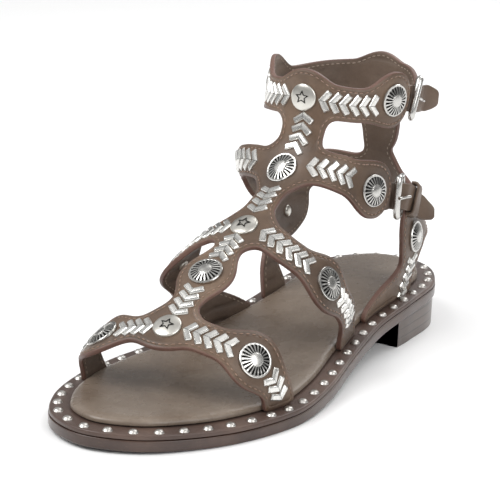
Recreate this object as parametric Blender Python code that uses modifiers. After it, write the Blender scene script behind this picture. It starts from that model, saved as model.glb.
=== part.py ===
"""A studded flat sandal for the left foot: straps over a last, on a studded rim, outsole and low heel."""

import math

import bmesh
import bpy
import numpy as np

SHOE = "flat_sandal"
CUTTERS = "cutters"

# Driving sizes, in metres. The toe points to -Y, and +X is the outer side of this left shoe.
SOLE_LENGTH = 0.250
BALL_WIDTH = 0.0985
OUTSOLE_THICK = 0.0047
MIDSOLE_THICK = 0.0021
INSOLE_THICK = 0.0032
HEEL_RISE = 0.0216
INSTEP_HEIGHT = 0.0811
COLLAR_HEIGHT = 0.1326
ANKLE_WIDTH = 0.065
ANKLE_DEPTH = 0.076
LEATHER = 0.0022
CLEAR = 0.0003
BALL_RISE = OUTSOLE_THICK + MIDSOLE_THICK + CLEAR
STUD_INSET = 0.0036
STRAP_INSET = 0.0064
STRAP_HALF = 0.0078
ROSETTE_RADIUS = 0.0073
STAR_RADIUS = 0.0060
LOBE_MARGIN = 0.0050
FILLET = 0.0070
EDGE_ROUND = 0.0007
RIM_LIP = 0.0003
HEEL_BREAST = 0.730
HEEL_TAPER = 0.0015
HEEL_LIP = 0.0004
STUD_SPACING = 0.0102
STUD_RADIUS = 0.0020
STUD_HEIGHT = 0.0013
STUD_SIDES = 6
STUD_PROFILE = ((1.0, -0.6), (1.0, 0.18), (0.62, 0.78))
ORNAMENT_HEIGHT = 0.0022
ORNAMENT_CLEAR = 0.0005
BUTTON_SIDES = 12
BUCKLE_STRAP_HALF = 0.0060
BUCKLE_STRAP_THICK = 0.0017
FRAME_LONG = 0.0096
FRAME_HIGH = 0.0186
WIRE_RADIUS = 0.0010
FRONT_BAR_LIFT = 0.0016
BACK_BAR_LIFT = -0.0012
PRONG_RADIUS = 0.0007
PRONG_LIFT = 0.0034
KEEPER_WIDE = 0.0060
KEEPER_THICK = 0.0012
KEEPER_ROOM = 0.0008
PAD_ROUND = 0.60
STRAP_LIFT = 0.20
TIP_TAPER = (0.86, 0.45)

# Fineness of the solids.
EDGE_POINTS = 960
RING_POINTS = 720
STRAP_STEPS = 12
FINE_STATIONS = 200
SOLE_RUNGS = 40
GRID_STEP = 0.0043
GRID_COLUMNS = 46
FIRST_STATION = 0.10
LAST_STATION = 1.07
BACK_STATION = 0.55
SNAP = 0.22
SHORTEST_EDGE = 0.0005
WELD = 1e-6
NUDGE = 1e-3

# Colour, roughness and metal of each finish.
FINISHES = {
    "strap_leather": ((0.150, 0.085, 0.055), 0.55, 0.0),
    "rim_leather": ((0.075, 0.038, 0.028), 0.50, 0.0),
    "sole_edge": ((0.060, 0.032, 0.026), 0.50, 0.0),
    "insole_leather": ((0.200, 0.150, 0.115), 0.45, 0.0),
    "aged_silver": ((0.620, 0.590, 0.540), 0.30, 1.0),
}

# Sole edge: share of the length from the toe, inner and outer side as shares of the ball width.
SOLE_EDGE = (
    # along, inner, outer
    (0.000, -0.098, -0.098),
    (0.030, -0.295, 0.120),
    (0.100, -0.421, 0.294),
    (0.200, -0.492, 0.433),
    (0.300, -0.491, 0.497),
    (0.400, -0.430, 0.486),
    (0.520, -0.344, 0.431),
    (0.650, -0.296, 0.387),
    (0.780, -0.293, 0.389),
    (0.900, -0.253, 0.352),
    (0.980, -0.109, 0.202),
    (1.000, 0.042, 0.042),
)
# Top of the midsole along the foot, from the ball's height (0) to the heel's (1).
SEAT = (
    # along, rise
    (0.00, 0.110),
    (0.08, 0.045),
    (0.17, 0.000),
    (0.29, 0.000),
    (0.38, 0.090),
    (0.48, 0.290),
    (0.60, 0.575),
    (0.72, 0.840),
    (0.84, 0.980),
    (1.00, 1.010),
)
# The foot's body: ridge height above the ground and height of its widest line above the midsole,
# both as shares of the instep height, and the bulge there as a share of the ball width.
FOOT = (
    # along, ridge, girth, bulge
    (0.00, 0.166, 0.052, 0.000),
    (0.06, 0.291, 0.073, 0.000),
    (0.12, 0.389, 0.086, 0.000),
    (0.184, 0.482, 0.099, 0.000),
    (0.288, 0.679, 0.123, 0.005),
    (0.402, 0.852, 0.173, 0.020),
    (0.50, 1.000, 0.247, 0.036),
    (0.56, 1.068, 0.296, 0.036),
    (0.64, 1.019, 0.296, 0.030),
    (0.74, 0.871, 0.271, 0.030),
    (0.86, 0.723, 0.247, 0.020),
    (0.97, 0.575, 0.185, 0.000),
)
# The heel and ankle: front and back from the ankle's own axis as shares of the ankle depth, half widths
# as shares of the ankle width. The strap bows out on the inner side, where its section is fuller.
ANKLE_ALONG = 0.738
ANKLE_ACROSS = 0.020
ANKLE = (
    # height / collar height, front, back, outer half, inner half, inner fullness
    (0.000, -0.520, 0.757, 0.440, 0.375, 2.0),
    (0.159, -0.520, 0.757, 0.440, 0.375, 2.0),
    (0.313, -0.520, 0.730, 0.477, 0.430, 2.0),
    (0.426, -0.547, 0.671, 0.492, 0.495, 2.1),
    (0.538, -0.586, 0.599, 0.501, 0.600, 2.6),
    (0.651, -0.586, 0.546, 0.492, 0.650, 2.9),
    (0.764, -0.533, 0.510, 0.489, 0.540, 2.4),
    (0.877, -0.493, 0.493, 0.501, 0.510, 2.0),
    (1.000, -0.487, 0.500, 0.515, 0.515, 2.0),
    (1.205, -0.487, 0.500, 0.523, 0.523, 2.0),
)
FOOT_TO_ANKLE = 0.012
BLEND_RISE = 0.030
LEAST_BLEND = 0.02
FOOT_MIDDLE = -0.006
FOOT_REACH = 0.480
# The sections are centred on the sole low down, and on the ankle higher up.
SOLE_CENTRED = 0.231
ANKLE_CENTRED = 0.538
# The rails that carry the sections: where each leaves the ridge, and where it meets the sole or back.
RAILS = (
    # station, ridge along, ridge height, back along, back height (heights / collar height)
    (0.00, 0.028, 0.141, 0.028, -0.026),
    (0.15, 0.140, 0.261, 0.148, -0.026),
    (0.35, 0.288, 0.427, 0.360, -0.026),
    (0.50, 0.404, 0.532, 0.580, -0.026),
    (0.60, 0.484, 0.623, 0.780, -0.026),
    (0.68, 0.532, 0.714, 0.972, 0.035),
    (0.78, 0.568, 0.827, 0.972, 0.336),
    (0.88, 0.588, 0.924, 0.912, 0.615),
    (1.00, 0.588, 1.076, 0.888, 0.970),
    (1.08, 0.588, 1.185, 0.888, 1.123),
)

# Straps: each row is a place on the last, as station and angle, and the half width there,
# as a share of STRAP_HALF.
STRAPS = {
    "toe": (
        (0.236, -118, 1.20),
        (0.215, -95, 1.00),
        (0.190, -62, 1.00),
        (0.198, -30, 0.95),
        (0.215, 5, 1.00),
        (0.230, 50, 0.95),
        (0.262, 78, 1.00),
        (0.285, 100, 1.05),
        (0.290, 122, 1.25),
    ),
    "spine": (
        (0.215, 5, 1.00),
        (0.290, 2, 0.90),
        (0.360, -2, 1.00),
        (0.435, -3, 0.90),
        (0.505, -4, 1.10),
        (0.590, -4, 0.95),
        (0.665, -4, 1.10),
        (0.765, 1, 1.35),
        (0.855, 0, 1.20),
    ),
    "instep": (
        (0.515, -134, 1.25),
        (0.475, -98, 1.00),
        (0.458, -62, 1.00),
        (0.482, -34, 0.95),
        (0.505, -4, 1.00),
        (0.488, 30, 0.95),
        (0.495, 62, 1.00),
        (0.513, 100, 1.00),
        (0.510, 134, 1.25),
    ),
    "lower_ankle": (
        (0.710, 37, 1.15),
        (0.692, 15, 1.05),
        (0.670, -4, 1.00),
        (0.685, -25, 0.95),
        (0.702, -52, 1.00),
        (0.712, -80, 1.00),
        (0.712, -104, 1.00),
    ),
    "collar": (
        (0.915, 66, 1.00),
        (0.865, 26, 0.97),
        (0.855, 0, 1.00),
        (0.865, -26, 0.97),
        (0.915, -66, 1.00),
        (0.928, -100, 1.05),
        (0.949, -140, 1.20),
        (0.962, -180, 1.30),
    ),
    "collar_back": ((0.940, 129, 0.80), (0.957, 152, 1.15), (0.962, 180, 1.30)),
    "back_spine": (
        (0.852, 181, 0.80),
        (0.880, 183, 0.92),
        (0.905, 180, 1.30),
        (0.930, 180, 1.50),
        (0.962, 180, 1.30),
    ),
    "heel_outer": (
        (0.632, 140, 1.35),
        (0.658, 122, 1.10),
        (0.690, 99, 1.10),
        (0.722, 95, 1.05),
        (0.753, 101, 1.10),
    ),
    "outer_flare": ((0.655, 123, 1.00), (0.618, 127, 0.85), (0.576, 131, 0.70)),
    "outer_wing": (
        (0.718, 102, 1.00),
        (0.735, 120, 1.00),
        (0.760, 140, 1.00),
        (0.796, 156, 0.90),
        (0.832, 171, 0.80),
        (0.852, 181, 0.80),
    ),
    "heel_inner": (
        (0.588, -131, 1.15),
        (0.605, -112, 0.85),
        (0.630, -98, 0.90),
        (0.662, -86, 0.95),
        (0.692, -87, 0.95),
        (0.715, -91, 0.95),
        (0.740, -102, 1.00),
        (0.770, -116, 1.00),
        (0.800, -130, 1.00),
        (0.825, -145, 1.00),
        (0.840, -163, 0.90),
        (0.852, -179, 0.80),
    ),
}
# Places of the ornaments on the last. The leather swells into a lobe round each.
ROSETTES = {
    "toe_inner": (0.190, -62),
    "toe_outer": (0.262, 78),
    "spine": (0.360, -2),
    "front": (0.665, -4),
    "instep_inner": (0.458, -62),
    "instep_outer": (0.495, 62),
    "lower_inner": (0.702, -52),
    "lower_outer": (0.705, 37),
    "collar_inner": (0.915, -66),
    "collar_outer": (0.915, 66),
    "heel_inner": (0.690, -88),
    "heel_outer": (0.701, 103),
}
STARS = {"toe": (0.215, 8), "instep": (0.505, -4), "collar": (0.855, 0)}
# The two buckle straps: rows run from under the front lobe, through the frame, to the loose tip.
# Lift is the height of the strap's inner face over the leather, in shares of the leather's thickness.
BUCKLE_STRAPS = {
    "lower": (
        # station, angle, lift
        (0.708, 48, -1.90),
        (0.715, 52, -1.90),
        (0.721, 56, -1.90),
        (0.727, 60, -1.75),
        (0.731, 64, -1.10),
        (0.736, 68, -0.40),
        (0.740, 73, 0.20),
        (0.744, 79, 0.20),
        (0.747, 85, 0.20),
        (0.749, 91, 0.20),
        (0.750, 97, 0.20),
        (0.749, 102, 0.45),
        (0.747, 107, 1.10),
        (0.744, 112, 2.00),
        (0.740, 116, 3.00),
    ),
    "collar": (
        # station, angle, lift
        (0.921, 77, -1.90),
        (0.924, 84, -1.90),
        (0.928, 91, -1.90),
        (0.932, 98, -1.20),
        (0.934, 105, -0.30),
        (0.936, 111, 0.20),
        (0.938, 116, 0.40),
        (0.940, 120, 1.10),
        (0.941, 124, 2.30),
        (0.942, 128, 3.80),
    ),
}
# Buckles and keeper: station and angle, and the turn in degrees from the line of equal station.
BUCKLES = {"lower": (0.734, 66, 30), "collar": (0.934, 104, 0)}
KEEPER = (0.749, 91, 6)


def curve_at(where, table, column):
    """Height of a smooth curve through one column of a table, read at its first column."""
    rows = np.array(table, float)
    at, value = rows[:, 0], rows[:, column]
    gap = np.diff(at)
    slope = np.diff(value) / gap
    lean = np.empty_like(value)
    lean[0], lean[-1] = slope[0], slope[-1]
    lean[1:-1] = (slope[:-1] * gap[1:] + slope[1:] * gap[:-1]) / (gap[1:] + gap[:-1])
    where = np.clip(np.asarray(where, float), at[0], at[-1])
    i = np.clip(np.searchsorted(at, where, side="right") - 1, 0, len(at) - 2)
    t = (where - at[i]) / gap[i]
    rest = 1 - t
    return (
        (1 + 2 * t) * rest**2 * value[i]
        + t * rest**2 * gap[i] * lean[i]
        + t**2 * (3 - 2 * t) * value[i + 1]
        - t**2 * rest * gap[i] * lean[i + 1]
    )


def edge_curve():
    """The sole's outer edge as a closed smooth curve, evenly spaced, counterclockwise from the toe."""
    inner = [(row[1], row[0]) for row in SOLE_EDGE]
    outer = [(row[2], row[0]) for row in SOLE_EDGE]
    ring = np.array(outer + inner[-2:0:-1])
    ring = ring * (BALL_WIDTH, SOLE_LENGTH) - (0, SOLE_LENGTH / 2)
    ahead = np.roll(ring, -1, axis=0)
    behind = np.roll(ring, 1, axis=0)
    gap = np.linalg.norm(ahead - ring, axis=1)[:, None]
    back_gap = np.roll(gap, 1, axis=0)
    lean = ((ahead - ring) / gap * back_gap + (ring - behind) / back_gap * gap) / (gap + back_gap)
    t = np.linspace(0, 1, 40, endpoint=False)[None, :, None]
    rest = 1 - t
    a, b = ring[:, None], ahead[:, None]
    lean_a, lean_b, span = lean[:, None], np.roll(lean, -1, axis=0)[:, None], gap[:, None]
    fine = (
        (1 + 2 * t) * rest**2 * a
        + t * rest**2 * span * lean_a
        + t**2 * (3 - 2 * t) * b
        - t**2 * rest * span * lean_b
    ).reshape(-1, 2)
    return even_ring(fine, EDGE_POINTS)


def even_ring(points, count):
    """A closed ring of points spaced evenly."""
    closed = np.vstack([points, points[:1]])
    run = np.concatenate([[0], np.cumsum(np.linalg.norm(np.diff(closed, axis=0), axis=1))])
    where = np.arange(count) * run[-1] / count
    return np.stack([np.interp(where, run, closed[:, k]) for k in (0, 1)], axis=1)


def inset_ring(inset, count):
    """The sole's edge moved inwards by inset."""
    edge = edge_curve()
    run = np.roll(edge, -3, axis=0) - np.roll(edge, 3, axis=0)
    run /= np.linalg.norm(run, axis=1)[:, None]
    return even_ring(edge + inset * np.stack([-run[:, 1], run[:, 0]], axis=1), count)


def side_lines(inset):
    """Inner and outer x of the sole's edge moved inwards by inset, as a function of y."""
    ring = inset_ring(inset, RING_POINTS)
    toe, heel = np.argmin(ring[:, 1]), np.argmax(ring[:, 1])
    outer = np.roll(ring, -toe, axis=0)[: (heel - toe) % RING_POINTS + 1]
    inner = np.roll(ring, -heel, axis=0)[: (toe - heel) % RING_POINTS + 1][::-1]
    return lambda y: (np.interp(y, inner[:, 1], inner[:, 0]), np.interp(y, outer[:, 1], outer[:, 0]))


def along(y):
    return y / SOLE_LENGTH + 0.5


def seat_height(y):
    """Top of the midsole, where the straps and the insole sit."""
    return BALL_RISE + (HEEL_RISE - BALL_RISE) * np.clip(curve_at(along(y), SEAT, 1), 0, None)


strap_sides = side_lines(STRAP_INSET)


def body_depth(points):
    """Below zero inside the foot that the straps were lasted on, above zero outside."""
    x, y, z = points[..., 0], points[..., 1], points[..., 2]
    share = np.clip(along(y), FOOT[0][0], FOOT[-1][0])
    inner, outer = strap_sides((share - 0.5) * SOLE_LENGTH)
    middle, half = (inner + outer) / 2, (outer - inner) / 2
    seat = seat_height((share - 0.5) * SOLE_LENGTH)
    ridge = INSTEP_HEIGHT * curve_at(share, FOOT, 1)
    girth = seat + INSTEP_HEIGHT * curve_at(share, FOOT, 2)
    swell = np.clip((z - seat) / (girth - seat), 0, 1)
    half = half + BALL_WIDTH * curve_at(share, FOOT, 3) * swell**2 * (3 - 2 * swell)
    rise = np.clip((z - girth) / (ridge - girth), 0, None)
    foot = (np.hypot((x - middle) / half, rise) - 1) * half
    foot = np.maximum(foot, np.abs(y - FOOT_MIDDLE * SOLE_LENGTH) - FOOT_REACH * SOLE_LENGTH)
    level = np.clip(z / COLLAR_HEIGHT, 0, ANKLE[-1][0])
    axis = (ANKLE_ALONG - 0.5) * SOLE_LENGTH
    front = axis + ANKLE_DEPTH * curve_at(level, ANKLE, 1)
    back = axis + ANKLE_DEPTH * curve_at(level, ANKLE, 2)
    off = x - ANKLE_ACROSS * BALL_WIDTH
    wide = ANKLE_WIDTH * np.where(off > 0, curve_at(level, ANKLE, 3), curve_at(level, ANKLE, 4))
    full = np.where(off > 0, 2, curve_at(level, ANKLE, 5))
    reach = np.abs((y - (front + back) / 2) / (back - front) * 2)
    ankle = ((np.abs(off / wide) ** full + reach**full) ** (1 / full) - 1) * wide
    blend = FOOT_TO_ANKLE * np.clip((z - seat) / BLEND_RISE, LEAST_BLEND, 1)
    mix = np.clip(0.5 + 0.5 * (ankle - foot) / blend, 0, 1)
    return ankle * (1 - mix) + foot * mix - blend * mix * (1 - mix)


def on_last(station, angle):
    """The leather's outer face at a station along the shoe, and at degrees from the ridge, + outwards."""
    station, angle = np.broadcast_arrays(np.asarray(station, float), np.radians(angle))
    ridge_y, back_y = ((curve_at(station, RAILS, k) - 0.5) * SOLE_LENGTH for k in (1, 3))
    ridge_z, back_z = (curve_at(station, RAILS, k) * COLLAR_HEIGHT for k in (2, 4))
    up_y, up_z = ridge_y - back_y, ridge_z - back_z
    size = np.hypot(up_y, up_z)
    up_y, up_z = up_y / size, up_z / size
    middle_y, middle_z = (ridge_y + back_y) / 2, (ridge_z + back_z) / 2
    inner, outer = strap_sides(middle_y)
    low = np.clip((ANKLE_CENTRED - middle_z / COLLAR_HEIGHT) / (ANKLE_CENTRED - SOLE_CENTRED), 0, 1)
    middle_x = (inner + outer) / 2 * low + ANKLE_ACROSS * BALL_WIDTH * (1 - low)
    centre = np.stack([middle_x, middle_y, middle_z], axis=-1)
    aim = np.stack([np.sin(angle), np.cos(angle) * up_y, np.cos(angle) * up_z], axis=-1)
    near, far = np.zeros(station.shape), np.full(station.shape, SOLE_LENGTH / 2)
    for _ in range(30):
        half = (near + far) / 2
        within = body_depth(centre + aim * half[..., None]) < 0
        near, far = np.where(within, half, near), np.where(within, far, half)
    return centre + aim * near[..., None]


def run_through(rows, steps):
    """A smooth run through the rows of a table, with so many steps between rows."""
    rows = np.array(rows, float)
    ends = np.vstack([2 * rows[0] - rows[1], rows, 2 * rows[-1] - rows[-2]])
    before, here, there, after = (ends[k : k + len(rows) - 1][:, None] for k in range(4))
    t = np.linspace(0, 1, steps, endpoint=False)[None, :, None]
    run = here + (there - before) / 2 * t
    run = run + (2 * before - 5 * here + 4 * there - after) / 2 * t**2
    run = run + (3 * here - before - 3 * there + after) / 2 * t**3
    return np.vstack([run.reshape(-1, rows.shape[1]), rows[-1:]])


def last_frame(station, angle):
    """Places on the last, their steps per unit of station and of angle, and the outward normals."""
    here = on_last(station, angle)
    by_station = (on_last(station + NUDGE, angle) - here) / NUDGE
    by_angle = (on_last(station, angle + NUDGE * 180) - here) / (NUDGE * 180)
    out = np.cross(by_angle, by_station)
    return here, by_station, by_angle, out / np.linalg.norm(out, axis=-1)[..., None]


def over_leather(place, across, up, lift):
    """Points round a place: across and up in the tangent plane there, lift from the leather's outer face."""
    centre, by_station, by_angle, out = last_frame(*place)
    side = by_angle / np.linalg.norm(by_angle)
    rise = np.cross(out, side)
    across, up, lift = np.broadcast_arrays(*(np.asarray(value, float) for value in (across, up, lift)))
    solve = np.linalg.inv([[by_station @ side, by_angle @ side], [by_station @ rise, by_angle @ rise]])
    station, angle = np.full(across.shape, place[0]), np.full(across.shape, float(place[1]))
    for _ in range(5):
        off = on_last(station, angle) - centre
        step = np.tensordot(solve, np.stack([across - off @ side, up - off @ rise]), axes=1)
        station, angle = station + step[0], angle + step[1]
    here, _, _, normal = last_frame(station, angle)
    return here + normal * lift[..., None]


def turned(across, up, degrees):
    """Distances across and up a place, read in axes turned by so many degrees."""
    cosine, sine = math.cos(math.radians(degrees)), math.sin(math.radians(degrees))
    return across * cosine - up * sine, across * sine + up * cosine


def strap_depth(points):
    """Below zero on the straps and above zero off them, measured along the leather from the nearest edge."""
    depth = np.full(points.shape[:-1], SOLE_LENGTH)
    edges = []
    for rows in STRAPS.values():
        run = run_through(rows, STRAP_STEPS)
        middles, halves = on_last(run[:, 0], run[:, 1]), run[:, 2] * STRAP_HALF
        edge = np.full(points.shape[:-1], SOLE_LENGTH)
        for middle, half in zip(middles, halves):
            edge = np.minimum(edge, np.linalg.norm(points - middle, axis=-1) - half)
        edges.append(edge)
    for places, radius in ((ROSETTES, ROSETTE_RADIUS), (STARS, STAR_RADIUS)):
        for place in places.values():
            edges.append(np.linalg.norm(points - on_last(*place), axis=-1) - radius - LOBE_MARGIN)
    for edge in edges:
        mix = np.clip(0.5 + 0.5 * (edge - depth) / FILLET, 0, 1)
        depth = edge * (1 - mix) + depth * mix - FILLET * mix * (1 - mix)
    return np.maximum(depth, seat_height(points[..., 1]) + CLEAR - points[..., 2])


def clear_scene():
    for thing in list(bpy.data.objects):
        bpy.data.objects.remove(thing, do_unlink=True)
    for group in list(bpy.data.collections):
        bpy.data.collections.remove(group)


def finish_of(name):
    """The material of this name, made once from its row of colour, roughness and metal."""
    if name not in bpy.data.materials:
        colour, roughness, metal = FINISHES[name]
        material = bpy.data.materials.new(name)
        material.use_nodes = True
        shader = material.node_tree.nodes["Principled BSDF"]
        shader.inputs["Base Color"].default_value = (*colour, 1)
        shader.inputs["Roughness"].default_value = roughness
        shader.inputs["Metallic"].default_value = metal
    return bpy.data.materials[name]


def add_object(name, data, finish, smooth_angle=35):
    thing = bpy.data.objects.new(name, data)
    bpy.data.collections[SHOE].objects.link(thing)
    data.materials.append(finish_of(finish))
    if thing.type == "MESH":
        data.shade_smooth()
        data.set_sharp_from_angle(angle=math.radians(smooth_angle))
    return thing


def mesh_object(name, bm, finish):
    data = bpy.data.meshes.new(name)
    bm.to_mesh(data)
    bm.free()
    return add_object(name, data, finish)


def rungs(inset, start=0.0, count=SOLE_RUNGS):
    """Rungs across the sole from start, a share of its length, to the heel: outer and inner x, and y."""
    ring = inset_ring(inset, RING_POINTS)
    toe, heel = ring[:, 1].min(), ring[:, 1].max()
    first = max(toe, (start - 0.5) * SOLE_LENGTH)
    t = np.linspace(0 if start == 0 else math.pi / 2, math.pi, count + 1)
    share = (1 - np.cos(t)) / 2
    y = first + (heel - first) * (share - share[0]) / (1 - share[0])
    inner, outer = side_lines(inset)(y)
    if start == 0:
        inner[0] = outer[0] = ring[np.argmin(ring[:, 1]), 0]
    inner[-1] = outer[-1] = ring[np.argmax(ring[:, 1]), 0]
    return outer, inner, y


def sole_layer(name, layers, finish, start=0.0, count=SOLE_RUNGS):
    """A closed plate through layers of (inset, height as a function of y), from its underside up."""
    bm = bmesh.new()
    sides = []
    for inset, height in layers:
        outer, inner, y = rungs(inset, start, count)
        z = height(y)
        sides.append([[bm.verts.new(p) for p in np.stack([x, y, z], axis=1)] for x in (outer, inner)])
    for (outer, inner), flip in ((sides[0], True), (sides[-1], False)):
        for k in range(count):
            corners = [inner[k], outer[k], outer[k + 1], inner[k + 1]]
            bm.faces.new(corners[::-1] if flip else corners)
    for (outer, inner), (outer_up, inner_up) in zip(sides, sides[1:]):
        for k in range(count):
            bm.faces.new([outer[k], outer_up[k], outer_up[k + 1], outer[k + 1]][::-1])
            bm.faces.new([inner[k], inner[k + 1], inner_up[k + 1], inner_up[k]][::-1])
        bm.faces.new([outer[0], inner[0], inner_up[0], outer_up[0]][::-1])
        bm.faces.new([outer[-1], outer_up[-1], inner_up[-1], inner[-1]][::-1])
    bmesh.ops.remove_doubles(bm, verts=bm.verts, dist=WELD)
    bmesh.ops.recalc_face_normals(bm, faces=bm.faces)
    return mesh_object(name, bm, finish)


def under_midsole(y):
    return seat_height(y) - MIDSOLE_THICK


def under_outsole(y):
    return under_midsole(y) - CLEAR - OUTSOLE_THICK


def raised(height, by):
    return lambda y: height(y) + by


def build_sole():
    outsole_top = raised(under_midsole, -CLEAR)
    sole_layer(
        "outsole",
        [(EDGE_ROUND, under_outsole), (0, raised(under_outsole, EDGE_ROUND)), (0, outsole_top)],
        "sole_edge",
    )
    heel_top = raised(under_outsole, -CLEAR)
    sole_layer(
        "heel",
        [(HEEL_TAPER, lambda y: 0 * y), (HEEL_LIP, heel_top)],
        "sole_edge",
        start=HEEL_BREAST,
        count=12,
    )
    midsole = sole_layer(
        "midsole",
        [
            (RIM_LIP, under_midsole),
            (RIM_LIP, raised(seat_height, -EDGE_ROUND)),
            (RIM_LIP + EDGE_ROUND, seat_height),
        ],
        "rim_leather",
    )
    stud_rim(midsole)
    insole_inset = STRAP_INSET + LEATHER + CLEAR
    insole_under = raised(seat_height, CLEAR)
    sole_layer(
        "insole",
        [
            (insole_inset + EDGE_ROUND, insole_under),
            (insole_inset, raised(insole_under, EDGE_ROUND)),
            (insole_inset, raised(insole_under, INSOLE_THICK * PAD_ROUND)),
            (insole_inset + INSOLE_THICK * PAD_ROUND, raised(insole_under, INSOLE_THICK)),
        ],
        "insole_leather",
    )


def stud_rim(midsole):
    """Domed studs all round the rim, joined to the midsole they are driven into."""
    line = inset_ring(STUD_INSET, RING_POINTS)
    length = np.linalg.norm(np.roll(line, -1, axis=0) - line, axis=1).sum()
    count = round(length / STUD_SPACING)
    bm = bmesh.new()
    for x, y in even_ring(line, count):
        rings = []
        for radius, rise in STUD_PROFILE:
            z = seat_height(y) + rise * STUD_HEIGHT
            ring = []
            for k in range(STUD_SIDES):
                turn = k * 2 * math.pi / STUD_SIDES
                reach = radius * STUD_RADIUS
                ring.append(bm.verts.new((x + reach * math.cos(turn), y + reach * math.sin(turn), z)))
            rings.append(ring)
        bm.faces.new(rings[0][::-1])
        for low, high in zip(rings, rings[1:]):
            for k in range(STUD_SIDES):
                after = (k + 1) % STUD_SIDES
                bm.faces.new([low[k], low[after], high[after], high[k]])
        crown = bm.verts.new((x, y, seat_height(y) + STUD_HEIGHT))
        for k in range(STUD_SIDES):
            bm.faces.new([rings[-1][k], rings[-1][(k + 1) % STUD_SIDES], crown])
    data = bpy.data.meshes.new("rim_studs")
    bm.to_mesh(data)
    bm.free()
    studs = bpy.data.objects.new("rim_studs", data)
    bpy.data.collections[CUTTERS].objects.link(studs)
    studs.hide_render = True
    studs.display_type = "WIRE"
    join = midsole.modifiers.new("studs", "BOOLEAN")
    join.operation = "UNION"
    join.object = studs


def grid_stations():
    """Stations spaced by GRID_STEP, between the ridge's and the back's own spacing where there is leather."""
    fine = np.linspace(FIRST_STATION, LAST_STATION, FINE_STATIONS)
    ridge = np.linalg.norm(np.diff(on_last(fine, 0), axis=0), axis=1)
    back = np.linalg.norm(np.diff(on_last(fine, 180), axis=0), axis=1)
    step = np.where(fine[1:] < BACK_STATION, ridge, (ridge + back) / 2)
    run = np.concatenate([[0], np.cumsum(step)])
    return np.interp(np.linspace(0, run[-1], round(run[-1] / GRID_STEP) + 1), run, fine)


def build_upper():
    """The straps: one sheet over the last, cut along their scalloped edges and given the leather's wall."""
    stations = grid_stations()
    angles = np.linspace(-180, 180, GRID_COLUMNS + 1)
    places = np.stack(np.meshgrid(stations, angles, indexing="ij"), axis=-1)
    rows, columns = places.shape[:2]
    places = places.reshape(-1, 2)
    depth = strap_depth(on_last(places[:, 0], places[:, 1]))
    index = np.arange(rows * columns).reshape(rows, columns)
    along_rows = np.stack([index[:, :-1].ravel(), index[:, 1:].ravel()], axis=1)
    along_columns = np.stack([index[:-1].ravel(), index[1:].ravel()], axis=1)
    crossed = np.vstack([along_rows, along_columns])
    crossed = crossed[depth[crossed[:, 0]] * depth[crossed[:, 1]] < 0]
    share = crossing(places, depth, crossed)
    spots = places[crossed[:, 0]] + (places[crossed[:, 1]] - places[crossed[:, 0]]) * share[:, None]
    snapped = np.zeros(len(places), bool)
    for (first, second), at, spot in sorted(
        zip(crossed.tolist(), share, spots), key=lambda item: min(item[1], 1 - item[1])
    ):
        near = first if at < 0.5 else second
        if min(at, 1 - at) < SNAP and not snapped[near]:
            places[near] = spot
            depth[near] = 0
            snapped[near] = True
    bm = bmesh.new()
    corners = [bm.verts.new((station, angle, 0)) for station, angle in places]
    for i in range(rows - 1):
        for j in range(columns - 1):
            ring = [index[i, j], index[i, j + 1], index[i + 1, j + 1], index[i + 1, j]]
            if min(depth[ring]) < 0:
                bm.faces.new([corners[k] for k in ring])
    side = {vert: depth[k] for k, vert in enumerate(corners)}
    for (first, second), at, spot in zip(crossed.tolist(), share, spots):
        edge = bm.edges.get([corners[first], corners[second]])
        if edge is None or depth[first] * depth[second] >= 0:
            continue
        _, split = bmesh.utils.edge_split(edge, corners[first], at)
        split.co = (*spot, 0)
        side[split] = 0.0
    for face in list(bm.faces):
        cuts = [vert for vert in face.verts if side[vert] == 0.0]
        if len(cuts) == 2 and bm.edges.get(cuts) is None:
            bmesh.utils.face_split(face, cuts[0], cuts[1])
        elif len(cuts) > 2:
            bmesh.ops.connect_verts(bm, verts=cuts)
    outside = [face for face in bm.faces if sum(side[vert] for vert in face.verts) >= 0]
    bmesh.ops.delete(bm, geom=outside, context="FACES")
    bmesh.ops.delete(bm, geom=[vert for vert in bm.verts if not vert.link_faces], context="VERTS")
    flat = np.array([vert.co[:2] for vert in bm.verts])
    for vert, spot in zip(bm.verts, on_last(flat[:, 0], flat[:, 1])):
        vert.co = spot
    bmesh.ops.remove_doubles(bm, verts=bm.verts, dist=SHORTEST_EDGE)
    upper = mesh_object("upper", bm, "strap_leather")
    wall = upper.modifiers.new("wall", "SOLIDIFY")
    wall.thickness = LEATHER
    wall.offset = -1
    wall.use_even_offset = True
    return upper


def crossing(places, depth, pairs):
    """Share of the way between the two grid points of each pair at which the strap's edge runs."""
    first, second = places[pairs[:, 0]], places[pairs[:, 1]]
    low, high = np.zeros(len(pairs)), np.ones(len(pairs))
    start = depth[pairs[:, 0]]
    for _ in range(10):
        half = (low + high) / 2
        spot = first + (second - first) * half[:, None]
        same = strap_depth(on_last(spot[:, 0], spot[:, 1])) * start > 0
        low, high = np.where(same, half, low), np.where(same, high, half)
    return (low + high) / 2


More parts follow.
